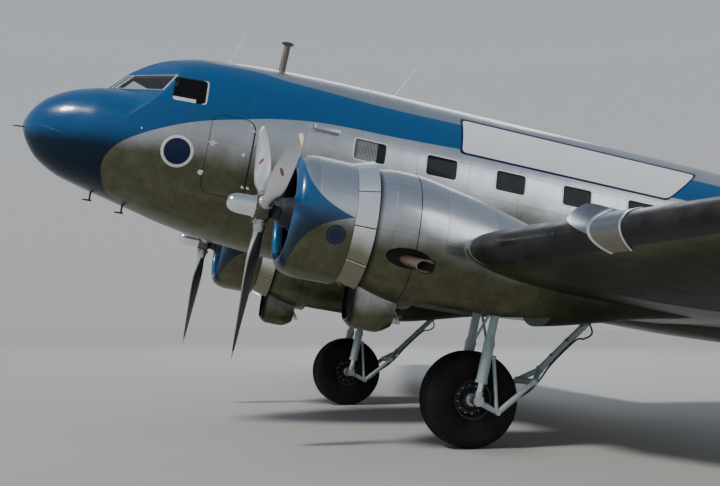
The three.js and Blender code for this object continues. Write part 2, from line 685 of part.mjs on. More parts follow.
function engineShape() {
  const { nose, case: front, rear } = ENGINE;
  const outline = [
    [nose, 0], [nose, 105], [nose + 90, 150], [front - 60, 185], [front, 260], [front + 60, 315],
    [rear - 150, 315], [rear, 250], [rear, 0],
  ];
  return placed(joined([turned(outline, 14), ...cylinderRow(0), ...cylinderRow(1)]), at(0, -ENGINE_Y, THRUST_Z));
}

/** Scoop under the nacelle that ducts air through the oil cooler. */
function oilCoolerShape() {
  const { sections, halfWidth, wall } = OIL_COOLER;
  const ring = ([x, top, bottom, width], inset) => {
    const [t, b, w] = [top - inset, bottom + inset, width - inset];
    const edge = (b + (t - b) * 0.35);
    return [[w, t], [w, edge], [w * 0.72, b + (edge - b) * 0.25], [w * 0.3, b],
      [-w * 0.3, b], [-w * 0.72, b + (edge - b) * 0.25], [-w, edge], [-w, t]]
      .map(([y, z]) => new THREE.Vector3(x, y - ENGINE_Y, z));
  };
  const outer = solid(loft(sections.map((row) => ring([...row, halfWidth], 0))));
  const [first, , , last] = sections;
  const duct = (row, shift) => ring([row[0] + shift, row[1] - 60, row[2], halfWidth], wall);
  const inner = solid(loft([duct(first, -20), duct(first, OIL_COOLER.pocket)]));
  const outlet = solid(loft([duct(last, -OIL_COOLER.pocket / 2), duct(last, 20)]));
  return outer.subtract(inner).subtract(outlet);
}

/** The port exhaust pipe, open at its outer end, and with `grow` the hole that it lies in. */
function exhaustShape(grow = 0) {
  const { from, to, radius, wall, bore } = EXHAUST;
  const direction = vector(to).sub(vector(from)).normalize();
  const point = (end, along) => vector(end).addScaledVector(direction, along).toArray();
  const pipe = bar(point(from, -grow), point(to, grow), radius + grow, radius + grow, 12);
  if (grow) return pipe;
  return pipe.subtract(bar(point(to, -bore), point(to, 20), radius - wall, radius - wall, 12));
}

/** One propeller with its hub, about the thrust line of the port engine. */
function propellerShape(side) {
  const blade = solid(loft(BLADE.map(([radius, chord, thickness]) => {
    const pitch = Math.atan(BLADE_ADVANCE / (2 * Math.PI * radius)) * Math.min(1, radius / 400);
    return Array.from({ length: BLADE_POINTS }, (_, i) => {
      const angle = (i / BLADE_POINTS) * 2 * Math.PI;
      const across = (chord / 2) * Math.cos(angle);
      const up = (thickness / 2) * Math.sin(angle);
      return new THREE.Vector3(
        BLADE_PLANE - across * Math.sin(pitch) - up * Math.cos(pitch),
        across * Math.cos(pitch) - up * Math.sin(pitch), radius);
    });
  })));
  const hub = turned([
    [HUB.front, 0], [HUB.front, HUB.radius - 25], [HUB.front + 30, HUB.radius],
    [HUB.back - 60, HUB.radius], [HUB.back, HUB.radius - 50], [HUB.back, 0],
  ], 16);
  const blades = [0, 120, 240].map((step) => {
    const turn = THREE.MathUtils.degToRad(-(BLADE_ANGLES[side] + step));
    return placed(blade, new THREE.Matrix4().makeRotationX(turn));
  });
  return joined([hub, ...blades]);
}

function domeShape() {
  const { front, radius } = DOME;
  const back = HUB.front - SEAT;
  return turned([
    [front, 0], [front + 8, radius * 0.42], [front + 45, radius * 0.74], [front + 130, radius * 0.95],
    [front + 220, radius], [back, radius], [back, 0],
  ], 16);
}

function addPowerPlants(wing) {
  const nacelle = nacelleShape().subtract(wing);
  const nacelleSeat = nacelleShape(SEAT);
  const scoop = oilCoolerShape().subtract(nacelleSeat);
  const pipe = exhaustShape();
  const pieces = [
    ['nacelle', nacelle.subtract(exhaustShape(SEAT)), skin],
    ['cowling', cowlingShape(), blue],
    ['cowl_flaps', cowlFlapsShape(), polished],
    ['engine', engineShape(), steel],
    ['oil_cooler', scoop, skin],
    ['exhaust_pipe', pipe, steel],
  ];
  for (const side of [PORT, STARBOARD]) {
    for (const [name, body, material] of pieces) add(`${name}_${sideName(side)}`, handed(body, side), material);
    const thrustLine = at(0, side * ENGINE_Y, THRUST_Z);
    add(`propeller_${sideName(side)}`, placed(propellerShape(side), thrustLine), polished);
    add(`propeller_dome_${sideName(side)}`, placed(domeShape(), thrustLine), steel);
  }
}

// Landing gear

const groundLevel = (x, z) => z * Math.cos(GROUND_ANGLE) - x * Math.sin(GROUND_ANGLE);
const standHeight = (tyre) => tyre.radius * Math.cos(Math.PI / tyre.segments);
const tailAxleZ = (groundLevel(AXLE.x, AXLE.z) - standHeight(TYRE) + standHeight(TAIL_TYRE)
  + TAIL_TYRE.x * Math.sin(GROUND_ANGLE)) / Math.cos(GROUND_ANGLE);

/** A frame at an axle whose z axis is vertical on the ground. */
const groundFrame = (x, y, z) => new THREE.Matrix4().makeRotationY(-GROUND_ANGLE).setPosition(x, y, z);

/** A solid of revolution about the y axis that stands on one of its flats, from [y, radius] points. */
function wheelShape(outline, sides) {
  const profile = outline.map(([y, radius]) => new THREE.Vector2(radius, y));
  profile.push(profile[0].clone());
  return solid(new THREE.LatheGeometry(profile, sides, Math.PI / sides));
}

/** Both halves of an outline that is the same on either side of the wheel's middle. */
const bothSides = (outline) => [...outline.map(([y, r]) => [-y, r]), ...[...outline].reverse()];

function tyreShape({ radius, width, rim, segments }) {
  const half = width / 2;
  const wall = radius - rim;
  return wheelShape(bothSides([
    [half * 0.7, rim], [half * 0.9, rim + wall * 0.2], [half, rim + wall * 0.48],
    [half * 0.94, rim + wall * 0.76], [half * 0.68, rim + wall * 0.94], [half * 0.3, radius],
  ]), segments);
}

function rimShape({ rim, width, hub, segments }) {
  const half = width / 2;
  return wheelShape(bothSides([
    [hub.half, hub.bore], [hub.half, hub.radius], [half * 0.25, hub.radius + 20],
    [half * 0.22, rim - 25], [half * 0.72, rim - SEAT],
  ]), segments);
}

/** Port main leg: two shock struts either side of the wheel, their cross bracing and the axle. */
function gearLegs(wing) {
  const { x, z } = AXLE;
  const { spread, top, upper, lower, slide } = LEGS;
  const pieces = [bar([x, -ENGINE_Y - spread - 20, z], [x, -ENGINE_Y + spread + 20, z], LEGS.axle, LEGS.axle, 12)];
  for (const end of [-1, 1]) {
    const y = -ENGINE_Y + end * spread;
    const middle = [THREE.MathUtils.lerp(top.x, x, slide), y, THREE.MathUtils.lerp(top.z, z, slide)];
    pieces.push(bar([top.x, y, top.z], middle, upper), bar(middle, [x, y, z], lower));
    pieces.push(bar([x, y, z], [DRAG.lug.x, y, DRAG.lug.z], LEGS.lug[0], LEGS.lug[1]));
    pieces.push(bar([DRAG.lug.x, y - 34, DRAG.lug.z], [DRAG.lug.x, y + 34, DRAG.lug.z], DRAG.pin, DRAG.pin));
    const along = (share) => [THREE.MathUtils.lerp(top.x, x, share), THREE.MathUtils.lerp(top.z, z, share)];
    const [high, low] = LEGS.brace.map(along);
    pieces.push(bar([high[0], y, high[1]], [low[0], -ENGINE_Y - end * spread, low[1]], LEGS.braceRadius, LEGS.braceRadius, 6));
  }
  return joined(pieces).subtract(wing);
}

/** Port drag strut: a fork from the axle's lugs that joins behind the tyre and runs up to the nacelle. */
function dragStrut() {
  const { lug, pin, elbow, join, top, radius } = DRAG;
  const pieces = [bar(join.at(0), top.at(0), radius), bar(elbow.at(-1), elbow.at(1), radius)];
  for (const end of [-1, 1]) {
    const y = -ENGINE_Y + end * LEGS.spread;
    pieces.push(bar([lug.x, y, lug.z], elbow.at(end), radius * 0.8), bar(elbow.at(end), join.at(0), radius * 0.8));
  }
  const lugs = [-1, 1].map((end) => {
    const y = -ENGINE_Y + end * LEGS.spread;
    return bar([lug.x, y - 100, lug.z], [lug.x, y + 100, lug.z], pin + SEAT, pin + SEAT);
  });
  return joined(pieces).subtract(joined(lugs));
}

function addGear(wing, fuselage) {
  const nacelle = nacelleShape(SEAT);
  const legs = gearLegs(wing);
  const strut = dragStrut().subtract(legsClear()).subtract(nacelle);
  for (const side of [PORT, STARBOARD]) {
    add(`gear_legs_${sideName(side)}`, handed(legs, side), gearPaint);
    add(`drag_strut_${sideName(side)}`, handed(strut, side), gearPaint);
    const axle = groundFrame(AXLE.x, side * ENGINE_Y, AXLE.z);
    add(`main_wheel_${sideName(side)}`, placed(rimShape(TYRE), axle), gearPaint);
    add(`main_tyre_${sideName(side)}`, placed(tyreShape(TYRE), axle), rubber);
  }
  addTailWheel(fuselage);
}

/** The space that the legs' lower ends take, for the drag strut's forks to stop at. */
function legsClear() {
  return joined([-1, 1].map((end) => {
    const y = -ENGINE_Y + end * LEGS.spread;
    return bar([AXLE.x, y, AXLE.z], [DRAG.lug.x, y, DRAG.lug.z], LEGS.lug[0] + SEAT, LEGS.lug[1] + SEAT);
  }));
}

function addTailWheel(fuselage) {
  const frame = groundFrame(TAIL_TYRE.x, 0, tailAxleZ);
  const { trail, crown, arm, axle, post, strut } = TAIL_FORK;
  const fork = [bar([-trail, 0, crown], [-trail, 0, crown + post.length], post.radius, post.radius, 16)];
  for (const end of [-1, 1]) {
    fork.push(bar([0, end * arm.y, 0], [-trail, end * arm.y, crown], arm.radius));
  }
  fork.push(bar([-trail, -arm.y, crown], [-trail, arm.y, crown], arm.radius * 1.2));
  fork.push(bar([0, -arm.y, 0], [0, arm.y, 0], axle, axle, 12));
  const sleeve = bar([-trail, 0, crown + strut.from], [-trail - strut.lean, 0, crown + strut.to], strut.radius);
  const boreRadius = (post.radius + SEAT) / Math.cos(Math.PI / 16);
  const bore = bar([-trail, 0, crown], [-trail, 0, crown + post.length + SEAT], boreRadius, boreRadius, 16);
  add('tail_wheel_strut', placed(sleeve.subtract(bore), frame).subtract(fuselage), gearPaint);
  add('tail_wheel_fork', placed(joined(fork), frame), gearPaint);
  add('tail_wheel', placed(rimShape(TAIL_TYRE), frame), gearPaint);
  add('tail_tyre', placed(tyreShape(TAIL_TYRE), frame), rubber);
}

function addAerial(fuselage) {
  const { x, foot, top, bar: half } = AERIAL;
  const mast = bar([x, 0, foot], [x + 40, 0, top], 26, 15, 8);
  const cross = bar([x + 40, -half, top], [x + 40, half, top], 11, 11, 8);
  add('aerial_mast', mast.add(cross).subtract(fuselage), polished);
}

const wingSeat = centreWing(SEAT);
const fuselageSeat = fuselageShape(SEAT);
addFuselage(wingSeat);
addWings();
addTail(fuselageSeat);
addPowerPlants(wingSeat);
addGear(wingSeat, fuselageSeat);
addAerial(fuselageSeat);

// The origin is under the middle of the parked aircraft, on the ground
aircraft.updateMatrixWorld(true);
const bounds = new THREE.Box3().setFromObject(aircraft, true);
const middle = bounds.getCenter(new THREE.Vector3());
aircraft.position.set(-middle.x, -middle.y, -bounds.min.z);

export default aircraft;
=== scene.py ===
"""A twin-engined, low-wing propeller airliner of the 1930s, parked nose up on its tail-wheel gear."""

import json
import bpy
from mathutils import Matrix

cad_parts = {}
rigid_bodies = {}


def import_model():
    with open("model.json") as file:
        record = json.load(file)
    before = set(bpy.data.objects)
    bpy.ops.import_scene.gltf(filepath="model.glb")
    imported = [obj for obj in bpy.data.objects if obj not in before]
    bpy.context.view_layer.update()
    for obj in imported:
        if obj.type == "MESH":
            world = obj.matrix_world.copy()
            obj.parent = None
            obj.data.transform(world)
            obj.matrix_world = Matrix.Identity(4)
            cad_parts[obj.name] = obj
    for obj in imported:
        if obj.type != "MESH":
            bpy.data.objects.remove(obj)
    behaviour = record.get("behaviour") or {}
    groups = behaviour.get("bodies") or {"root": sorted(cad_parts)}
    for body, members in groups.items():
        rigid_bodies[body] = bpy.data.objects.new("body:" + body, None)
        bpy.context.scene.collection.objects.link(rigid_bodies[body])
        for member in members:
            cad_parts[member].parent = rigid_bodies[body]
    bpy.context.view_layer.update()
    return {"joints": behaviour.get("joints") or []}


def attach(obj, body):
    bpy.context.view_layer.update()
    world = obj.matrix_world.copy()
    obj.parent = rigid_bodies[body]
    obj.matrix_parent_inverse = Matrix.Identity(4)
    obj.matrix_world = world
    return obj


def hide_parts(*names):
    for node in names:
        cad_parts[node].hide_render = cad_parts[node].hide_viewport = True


bl_info = {
    "name": "Propeller Airliner",
    "version": (1, 0, 0),
    "blender": (4, 5, 0),
    "location": "3D View > Sidebar > Airliner",
    "description": "Builds the finished surfaces of a parked 1930s propeller airliner around its solids",
    "category": "Object",
}

from functools import wraps
from math import atan, atan2, cos, pi, radians, sin, sqrt, tau

import bmesh
import bpy
from mathutils import Matrix, Vector

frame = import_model()
JOINTS = {joint["name"]: joint for joint in frame["joints"]}

# The aircraft's own level frame, in metres: x aft from the nose tip, y to starboard, z up from the nose tip.
# The propeller joint gives its tilt on the ground and its place in the row's frame.
THRUST = JOINTS["propeller_spin_left"]
GROUND_ANGLE = atan2(-THRUST["axis"][2], THRUST["axis"][0])
HUB_BACK = Vector((3.0336, -2.82, -0.84))
TILT = Matrix.Rotation(GROUND_ANGLE, 4, "Y")
AIRCRAFT = Matrix.Translation(Vector(THRUST["pos_m"]) - TILT @ HUB_BACK) @ TILT
SIDES = (("left", -1), ("right", 1))
MIRROR = Matrix.Scale(-1, 4, (0, 1, 0))

# Fuselage sections: x, deck height, roof height, belly height, half width, height of greatest width.
# The deck is the nose's own top. The roof is the cabin's, which the windscreen cuts off in front.
FUSELAGE = (
    (0.006, 0.055, 0.055, -0.060, 0.058, -0.002),
    (0.060, 0.180, 0.180, -0.185, 0.185, 0.000),
    (0.210, 0.375, 0.375, -0.385, 0.370, 0.000),
    (0.380, 0.495, 0.495, -0.505, 0.500, 0.000),
    (0.560, 0.585, 0.585, -0.590, 0.610, 0.000),
    (0.750, 0.645, 0.645, -0.645, 0.705, 0.005),
    (0.920, 0.688, 0.760, -0.690, 0.785, 0.010),
    (1.130, 0.710, 0.920, -0.742, 0.865, 0.020),
    (1.360, 0.733, 1.085, -0.795, 0.945, 0.030),
    (1.650, 0.752, 1.232, -0.865, 1.027, 0.050),
    (1.950, 0.760, 1.334, -0.940, 1.088, 0.062),
    (2.200, 0.765, 1.385, -0.990, 1.126, 0.072),
    (2.600, 0.768, 1.430, -1.055, 1.172, 0.090),
    (3.100, 0.770, 1.465, -1.108, 1.212, 0.103),
    (3.800, 0.770, 1.490, -1.155, 1.238, 0.112),
    (4.800, 0.770, 1.500, -1.165, 1.245, 0.115),
    (9.500, 0.770, 1.500, -1.165, 1.245, 0.115),
    (10.80, 0.770, 1.488, -1.130, 1.225, 0.130),
    (12.20, 0.770, 1.438, -1.000, 1.150, 0.160),
    (13.60, 0.770, 1.345, -0.820, 1.020, 0.215),
    (15.00, 0.760, 1.215, -0.600, 0.835, 0.290),
    (16.20, 0.740, 1.075, -0.395, 0.645, 0.345),
    (17.30, 0.700, 0.920, -0.200, 0.455, 0.385),
    (18.00, 0.640, 0.800, -0.060, 0.320, 0.400),
    (18.60, 0.560, 0.670, 0.090, 0.195, 0.400),
    (18.95, 0.500, 0.560, 0.220, 0.100, 0.395),
    (19.05, 0.440, 0.470, 0.320, 0.045, 0.395),
)
FUSELAGE_ROUND = 2.15
WINDSCREEN = (Vector((0.950, 0, 0.690)), Vector((1.220, 0, 0.985)), Vector((1.690, -0.930, 0.640)))
WINDSCREEN_PANE = ((0.062, 0.722), (0.880, 0.668), (0.775, 0.925), (0.062, 0.942))
SIDE_WINDOW = {"x": (1.800, 2.230), "z": (0.555, 0.905)}
CABIN_WINDOW = {"first": 4.450, "pitch": 1.024, "count": 7, "z": 0.400, "width": 0.450, "height": 0.290}
DOOR = {"x": (12.350, 13.050), "z": (-0.520, 0.920), "thickness": 0.030, "gap": 0.008, "rear_gap": 0.016}
DOOR["window"] = ((12.540, 0.255), (12.860, 0.545))
CREW_DOOR = ((2.340, -0.560), (2.915, 0.470))
NOSE_HATCH = ((2.450, -0.450), (3.050, 0.250))
HOLD_DOOR = ((11.350, -0.350), (12.100, 0.200))
DOOR_HINGE = {"axis": (12.338, -1.150), "heights": (-0.060, 0.380), "knuckle": 0.070, "radius": 0.020}

# Wing sections: y, leading edge x, chord, leading edge z, thickness over chord
INCIDENCE = radians(2)
WING_CAMBER = 0.02
CENTRE_WING = ((-4.270, 5.150, 4.330, -0.905, 0.15), (4.270, 5.150, 4.330, -0.905, 0.15))
OUTER_WING = (
    (4.2704, 5.150, 4.330, -0.905, 0.150),
    (7.000, 5.906, 3.491, -0.661, 0.140),
    (10.00, 6.737, 2.569, -0.399, 0.122),
    (12.50, 7.430, 1.801, -0.180, 0.108),
    (13.50, 7.707, 1.493, -0.092, 0.100),
    (14.00, 7.925, 1.205, -0.055, 0.092),
    (14.30, 8.140, 0.880, -0.034, 0.085),
    (14.44, 8.335, 0.540, -0.026, 0.075),
    (14.48, 8.460, 0.300, -0.024, 0.060),
)
FLAP = {"from": 0.8, "to": 0.985, "front": 0.030, "back": 0.009, "inner": (1.33, 4.18), "outer": (4.36, 8.85)}
AILERON = {"span": (9.000, 13.450), "from": 0.77, "radii": (0.097, 0.043)}
RUNNING = 0.008

# Tail sections: station, leading edge x, trailing edge x, thickness
TAILPLANE_Z = 0.520
FABRIC = {"ribs": 0.280, "sink": 0.10, "held": 0.180}
TAILPLANE = (
    (0.000, 15.800, 18.420, 0.250),
    (0.600, 15.950, 18.420, 0.240),
    (2.000, 16.420, 18.380, 0.200),
    (3.000, 16.800, 18.270, 0.155),
    (3.600, 17.080, 18.130, 0.115),
    (3.900, 17.300, 17.970, 0.080),
    (4.030, 17.480, 17.820, 0.045),
    (4.065, 17.570, 17.730, 0.022),
)
ELEVATOR = {"x": 17.450, "span": (0.520, 3.420), "radii": (0.097, 0.080)}
FIN = (
    (0.560, 15.000, 19.380, 0.250),
    (1.190, 14.700, 19.560, 0.245),
    (1.330, 15.300, 19.600, 0.240),
    (1.600, 15.860, 19.650, 0.232),
    (2.000, 16.320, 19.610, 0.218),
    (2.600, 16.800, 19.430, 0.192),
    (3.200, 17.230, 19.160, 0.160),
    (3.600, 17.530, 18.950, 0.132),
    (3.900, 17.800, 18.760, 0.100),
    (4.080, 18.020, 18.590, 0.062),
    (4.150, 18.180, 18.450, 0.030),
)
RUDDER = {"x": 18.050, "span": (0.905, 3.320), "radii": (0.098, 0.090)}

# Nacelle sections: x, top z, bottom z, half width
ENGINE_Y = 2.820
THRUST_Z = -0.840
NACELLE = (
    (3.960, -0.200, -1.500, 0.640),
    (4.150, -0.140, -1.560, 0.690),
    (4.350, -0.110, -1.620, 0.710),
    (4.560, -0.110, -1.660, 0.715),
    (5.050, -0.180, -1.700, 0.700),
    (5.500, -0.270, -1.700, 0.675),
    (6.000, -0.400, -1.660, 0.640),
    (6.600, -0.520, -1.560, 0.580),
    (7.200, -0.620, -1.420, 0.490),
    (7.800, -0.700, -1.270, 0.370),
    (8.300, -0.780, -1.180, 0.230),
    (8.550, -0.850, -1.120, 0.090),
)
NACELLE_ROUND = 2.25
WHEEL_WELL = {"x": (4.740, 6.420), "half_width": 0.400, "top": -0.960}
COWL = {"front": 3.170, "rear": 3.830, "radius": 0.705, "wall": 0.016, "mouth": 0.500}
COWL_FLAPS = {"count": 10, "sweep": 30.5, "pitch": 32, "length": 0.225, "open": 18, "thickness": 0.007}
CYLINDER_ROWS = (3.452, 3.690)
OIL_COOLER = ((4.07, -1.48, -1.9), (4.18, -1.48, -1.975), (4.42, -1.48, -1.98), (4.59, -1.48, -1.9))
EXHAUST = {"from": Vector((4.330, -3.160, -1.130)), "to": Vector((4.780, -3.530, -1.215)), "radius": 0.082}

# Propellers: the first blade's angle from straight up, and sections of radius, chord, thickness
BLADE_PLANE = 2.931
BLADE_ANGLES = {"left": -71.9, "right": -74.7}
BLADE_ADVANCE = 3.260
BLADE = (
    (0.120, 0.120, 0.118),
    (0.300, 0.125, 0.108),
    (0.620, 0.245, 0.052),
    (0.900, 0.285, 0.036),
    (1.200, 0.270, 0.026),
    (1.500, 0.215, 0.018),
    (1.680, 0.130, 0.012),
    (1.752, 0.060, 0.008),
)

# Landing gear
AXLE = Vector((5.710, 0, -2.570))
TYRE = {"radius": 0.565, "width": 0.430, "rim": 0.225}
LEG_SPREAD = 0.285
LEG_TOP = Vector((5.800, 0, -1.000))
DRAG_LUG = Vector((5.975, 0, -2.670))
TAIL_TYRE = {"radius": 0.280, "width": 0.190, "rim": 0.115}
TAIL_AXLE = Vector((17.100, 0, -0.95234))


def both_sides(build):
    """A build function that makes the pieces of the left side and then of the right."""
    @wraps(build)
    def both(settings):
        for name, side in SIDES:
            build(name, side)
    return both


def xyz(*place):
    return Vector(place)


def clamped(value):
    return min(max(value, 0), 1)


def axes(x, y, z, origin):
    """A frame from its three directions and its origin."""
    matrix = Matrix((x, y, z)).transposed().to_4x4()
    matrix.translation = origin
    return matrix


def shift(place):
    return Matrix.Translation(place)


def spun(angle, axis):
    return Matrix.Rotation(angle, 4, axis)


# Curves through the tables


def along(table, position):
    """The columns of a table at a position between its rows, each on a smooth curve."""
    last = len(table) - 1
    at = next((i for i in range(last) if position <= table[i + 1][0]), last - 1)
    step = table[at + 1][0] - table[at][0]
    share = clamped((position - table[at][0]) / step)
    cube, square = share**3, share**2
    values = [position]
    for column in range(1, len(table[0])):
        rises = {
            i: (table[i + 1][column] - table[i][column]) / (table[i + 1][0] - table[i][0])
            for i in range(max(at - 1, 0), min(at + 2, last))}
        slopes = []
        for i in (at, at + 1):
            before, after = rises.get(i - 1), rises.get(i)
            if before is None or after is None:
                slopes.append(None)
            else:
                slopes.append(0 if before * after <= 0 else 2 * before * after / (before + after))
        first, second = slopes
        if first is None:
            first = 1.5 * rises[at] - (second or 0) / 2 if second is not None else rises[at]
        if second is None:
            second = 1.5 * rises[at] - first / 2
        a, b = table[at][column], table[at + 1][column]
        values.append(
            (2 * cube - 3 * square + 1) * a
            + (cube - 2 * square + share) * step * first
            + (3 * square - 2 * cube) * b
            + (cube - square) * step * second)
    return values


def stations(table, step):
    """Positions along a table: every row, and between rows about one step apart."""
    found = []
    for a, b in zip(table, table[1:]):
        parts = max(1, round((b[0] - a[0]) / step))
        found += [a[0] + (b[0] - a[0]) * i / parts for i in range(parts)]
    return found + [table[-1][0]]


def rounded_reach(across, up, half_width, height, power):
    """Distance from the middle of a rounded section to its outline, in one direction."""
    return (abs(across / half_width) ** power + abs(up / height) ** power) ** (-1 / power)


# Mesh building


def sheet(rows, columns, place, wrap=False, uv=False):
    """A grid of vertices, each put where place(row, column) says; wrap joins its long edges."""
    bm = bmesh.new()
    if uv:
        bm.loops.layers.uv.new("UVMap")
    across = columns if wrap else columns - 1
    bmesh.ops.create_grid(bm, x_segments=across, y_segments=rows - 1, size=1, calc_uvs=uv)
    for vert in bm.verts:
        column = round((vert.co.x + 1) / 2 * across)
        row = round((vert.co.y + 1) / 2 * (rows - 1))
        vert.co = place(row, column % columns)
    if wrap:
        bmesh.ops.remove_doubles(bm, verts=bm.verts, dist=1e-6)
    return bm


def closed(bm):
    """Fills the open ends of a shape."""
    bmesh.ops.holes_fill(bm, edges=[edge for edge in bm.edges if edge.is_boundary], sides=0)
    bmesh.ops.recalc_face_normals(bm, faces=bm.faces)
    return bm


def joined(*shapes):
    """Several shapes as one, taken in."""
    bm = shapes[0]
    for shape in shapes[1:]:
        mesh = bpy.data.meshes.new("part")
        shape.to_mesh(mesh)
        shape.free()
        bm.from_mesh(mesh)
        bpy.data.meshes.remove(mesh)
    return bm


def moved(bm, matrix):
    """A shape moved by a matrix, with its faces the right way out after a mirroring."""
    bmesh.ops.transform(bm, matrix=matrix, verts=bm.verts)
    if matrix.determinant() < 0:
        bmesh.ops.reverse_faces(bm, faces=bm.faces)
    return bm


def painted(bm, index):
    """A shape with all its faces in one material slot."""
    for face in bm.faces:
        face.material_index = index
    return bm


class Shapes(list):
    """The shapes of one piece, each put in with the number of its material slot."""

    def put(self, slot, *shapes):
        self.extend(painted(shape, slot) for shape in shapes)

    def rod(self, slot, start, end, *radii, sides=16):
        self.put(slot, rod(start, end, *radii, sides=sides))


def sided(bm, side):
    """A shape as it is drawn, or on the other side of the aircraft where side is less than nought."""
    return moved(bm, MIRROR) if side < 0 else bm


def combine(first, second, how="DIFFERENCE"):
    """Two closed shapes cut, joined or met exactly, both taken in. Material slots keep their numbers."""
    things = []
    for shape in (first, second):
        mesh = bpy.data.meshes.new("solid")
        shape.to_mesh(mesh)
        shape.free()
        for _ in range(8):
            mesh.materials.append(None)
        things.append(linked("solid", mesh))
    modifier = things[0].modifiers.new("cut", "BOOLEAN")
    modifier.operation = how
    modifier.solver = "EXACT"
    modifier.object = things[1]
    made = bmesh.new()
    made.from_object(things[0], bpy.context.evaluated_depsgraph_get())
    for thing in things:
        mesh = thing.data
        bpy.data.objects.remove(thing)
        bpy.data.meshes.remove(mesh)
    return made


def turn_between(first, second):
    """A matrix that turns one direction into another."""
    return first.rotation_difference(second).to_matrix().to_4x4()


def rod(start, end, radius, end_radius=None, sides=16):
    """A round bar between two points."""
    start, end = Vector(start), Vector(end)
    bm = bmesh.new()
    matrix = shift((start + end) / 2) @ turn_between(xyz(0, 0, 1), end - start)
    bmesh.ops.create_cone(
        bm, cap_ends=True, segments=sides, radius1=radius,
        radius2=radius if end_radius is None else end_radius, depth=(end - start).length, matrix=matrix)
    return bm


def block(low, high, bevel=0.0):
    """A box between two corners, its edges rounded by the bevel."""
    bm = bmesh.new()
    low, high = Vector(low), Vector(high)
    matrix = shift((low + high) / 2) @ Matrix.Diagonal((high - low).to_4d())
    matrix[3][3] = 1
    bmesh.ops.create_cube(bm, size=1, matrix=matrix)
    if bevel:
        bmesh.ops.bevel(
            bm, geom=bm.edges, offset=bevel, segments=2, affect="EDGES", profile=0.5, material=-1)
    return bm


def ball(matrix, radius, sides=24):
    """A sphere, put in place and stretched by a matrix."""
    bm = bmesh.new()
    bmesh.ops.create_uvsphere(bm, u_segments=sides, v_segments=sides // 2, radius=radius, matrix=matrix)
    return bm


def lathe(outline, sides=48, matrix=None):
    """A solid of revolution about the x axis from an outline of x and radius."""
    bm = bmesh.new()
    verts = [bm.verts.new((x, 0, radius)) for x, radius in outline]
    edges = [bm.edges.new(pair) for pair in zip(verts, verts[1:])]
    if outline[0][1] > 1e-6 or outline[-1][1] > 1e-6:
        edges.append(bm.edges.new((verts[-1], verts[0])))
    bmesh.ops.spin(
        bm, geom=verts + edges, cent=(0, 0, 0), axis=(1, 0, 0), angle=tau, steps=sides, use_merge=True)
    bmesh.ops.remove_doubles(bm, verts=bm.verts, dist=1e-6)
    bmesh.ops.recalc_face_normals(bm, faces=bm.faces)
    return moved(bm, matrix) if matrix else bm


def plate(corners, normal, below, above):
    """A flat plate on an outline, from a depth below it to a height above it along the normal."""
    bm = bmesh.new()
    face = bm.faces.new([bm.verts.new(Vector(corner) - normal * below) for corner in corners])
    made = bmesh.ops.extrude_face_region(bm, geom=[face])
    verts = [item for item in made["geom"] if isinstance(item, bmesh.types.BMVert)]
    bmesh.ops.translate(bm, verts=verts, vec=normal * (below + above))
    bmesh.ops.recalc_face_normals(bm, faces=bm.faces)
    return bm


def sweep(points, radius, sides=12):
    """A round tube along a list of points; radius is a number, or one for each point."""
    points = [Vector(point) for point in points]
    radii = radius if isinstance(radius, (list, tuple)) else [radius] * len(points)
    frames = []
    side = None
    for i, point in enumerate(points):
        direction = (points[min(i + 1, len(points) - 1)] - points[max(i - 1, 0)]).normalized()
        if side is None:
            side = direction.orthogonal().normalized()
        side = (side - direction * side.dot(direction)).normalized()
        frames.append((point, side, direction.cross(side)))

    def place(row, column):
        point, across, up = frames[row]
        angle = tau * column / sides
        return point + (across * cos(angle) + up * sin(angle)) * radii[row]

    return closed(sheet(len(points), sides, place, wrap=True))


def smoothed(points, steps=6):
    """Points on a smooth curve through a few given points."""
    points = [Vector(point) for point in points]
    found = []
    for i in range(len(points) - 1):
        p0, p1, p2, p3 = (points[min(max(i + k, 0), len(points) - 1)] for k in (-1, 0, 1, 2))
        for step in range(steps):
            t = step / steps
            square = 2 * p0 - 5 * p1 + 4 * p2 - p3
            cube = 3 * p1 - p0 - 3 * p2 + p3
            found.append(0.5 * (2 * p1 + (p2 - p0) * t + square * t**2 + cube * t**3))
    return found + [points[-1]]


def rounded_outline(low, high, radius, steps=6):
    """Points of a rectangle with round corners, from its two opposite corners."""
    found = []
    for cx, cy, start in (
        (high[0] - radius, high[1] - radius, 0), (low[0] + radius, high[1] - radius, 90),
        (low[0] + radius, low[1] + radius, 180), (high[0] - radius, low[1] + radius, 270),
    ):
        for i in range(steps + 1):
            angle = radians(start + 90 * i / steps)
            found.append((cx + radius * cos(angle), cy + radius * sin(angle)))
    return found


def add_piece(name, shape, materials, replaces="", body="airframe", angle=35):
    """Makes a shape, or shapes, a piece of the object that rides on a body, smooth up to an angle.
    Materials and replaced solids are names with spaces between them."""
    mesh = bpy.data.meshes.new(name)
    for material in materials.split():
        mesh.materials.append(bpy.data.materials[material])
    bm = joined(*shape) if isinstance(shape, list) else shape
    bmesh.ops.transform(bm, matrix=AIRCRAFT, verts=bm.verts)
    bm.to_mesh(mesh)
    bm.free()
    mesh.shade_smooth()
    mesh.set_sharp_from_angle(angle=radians(angle))
    piece = linked(name, mesh)
    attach(piece, body)
    if replaces:
        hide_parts(*replaces.split())


# Fuselage

FUSELAGE_BY_ROOT = tuple((sqrt(row[0]), *row[1:]) for row in FUSELAGE)


def fuselage_at(x):
    """The fuselage's section at a station, on a curve that is round at the nose tip."""
    return [x, *along(FUSELAGE_BY_ROOT, sqrt(x))[1:]]


def screen_normal():
    """Outward normal of the port windscreen plane."""
    a, b, c = WINDSCREEN
    normal = (b - a).cross(c - a).normalized()
    return normal if normal.x < 0 else -normal


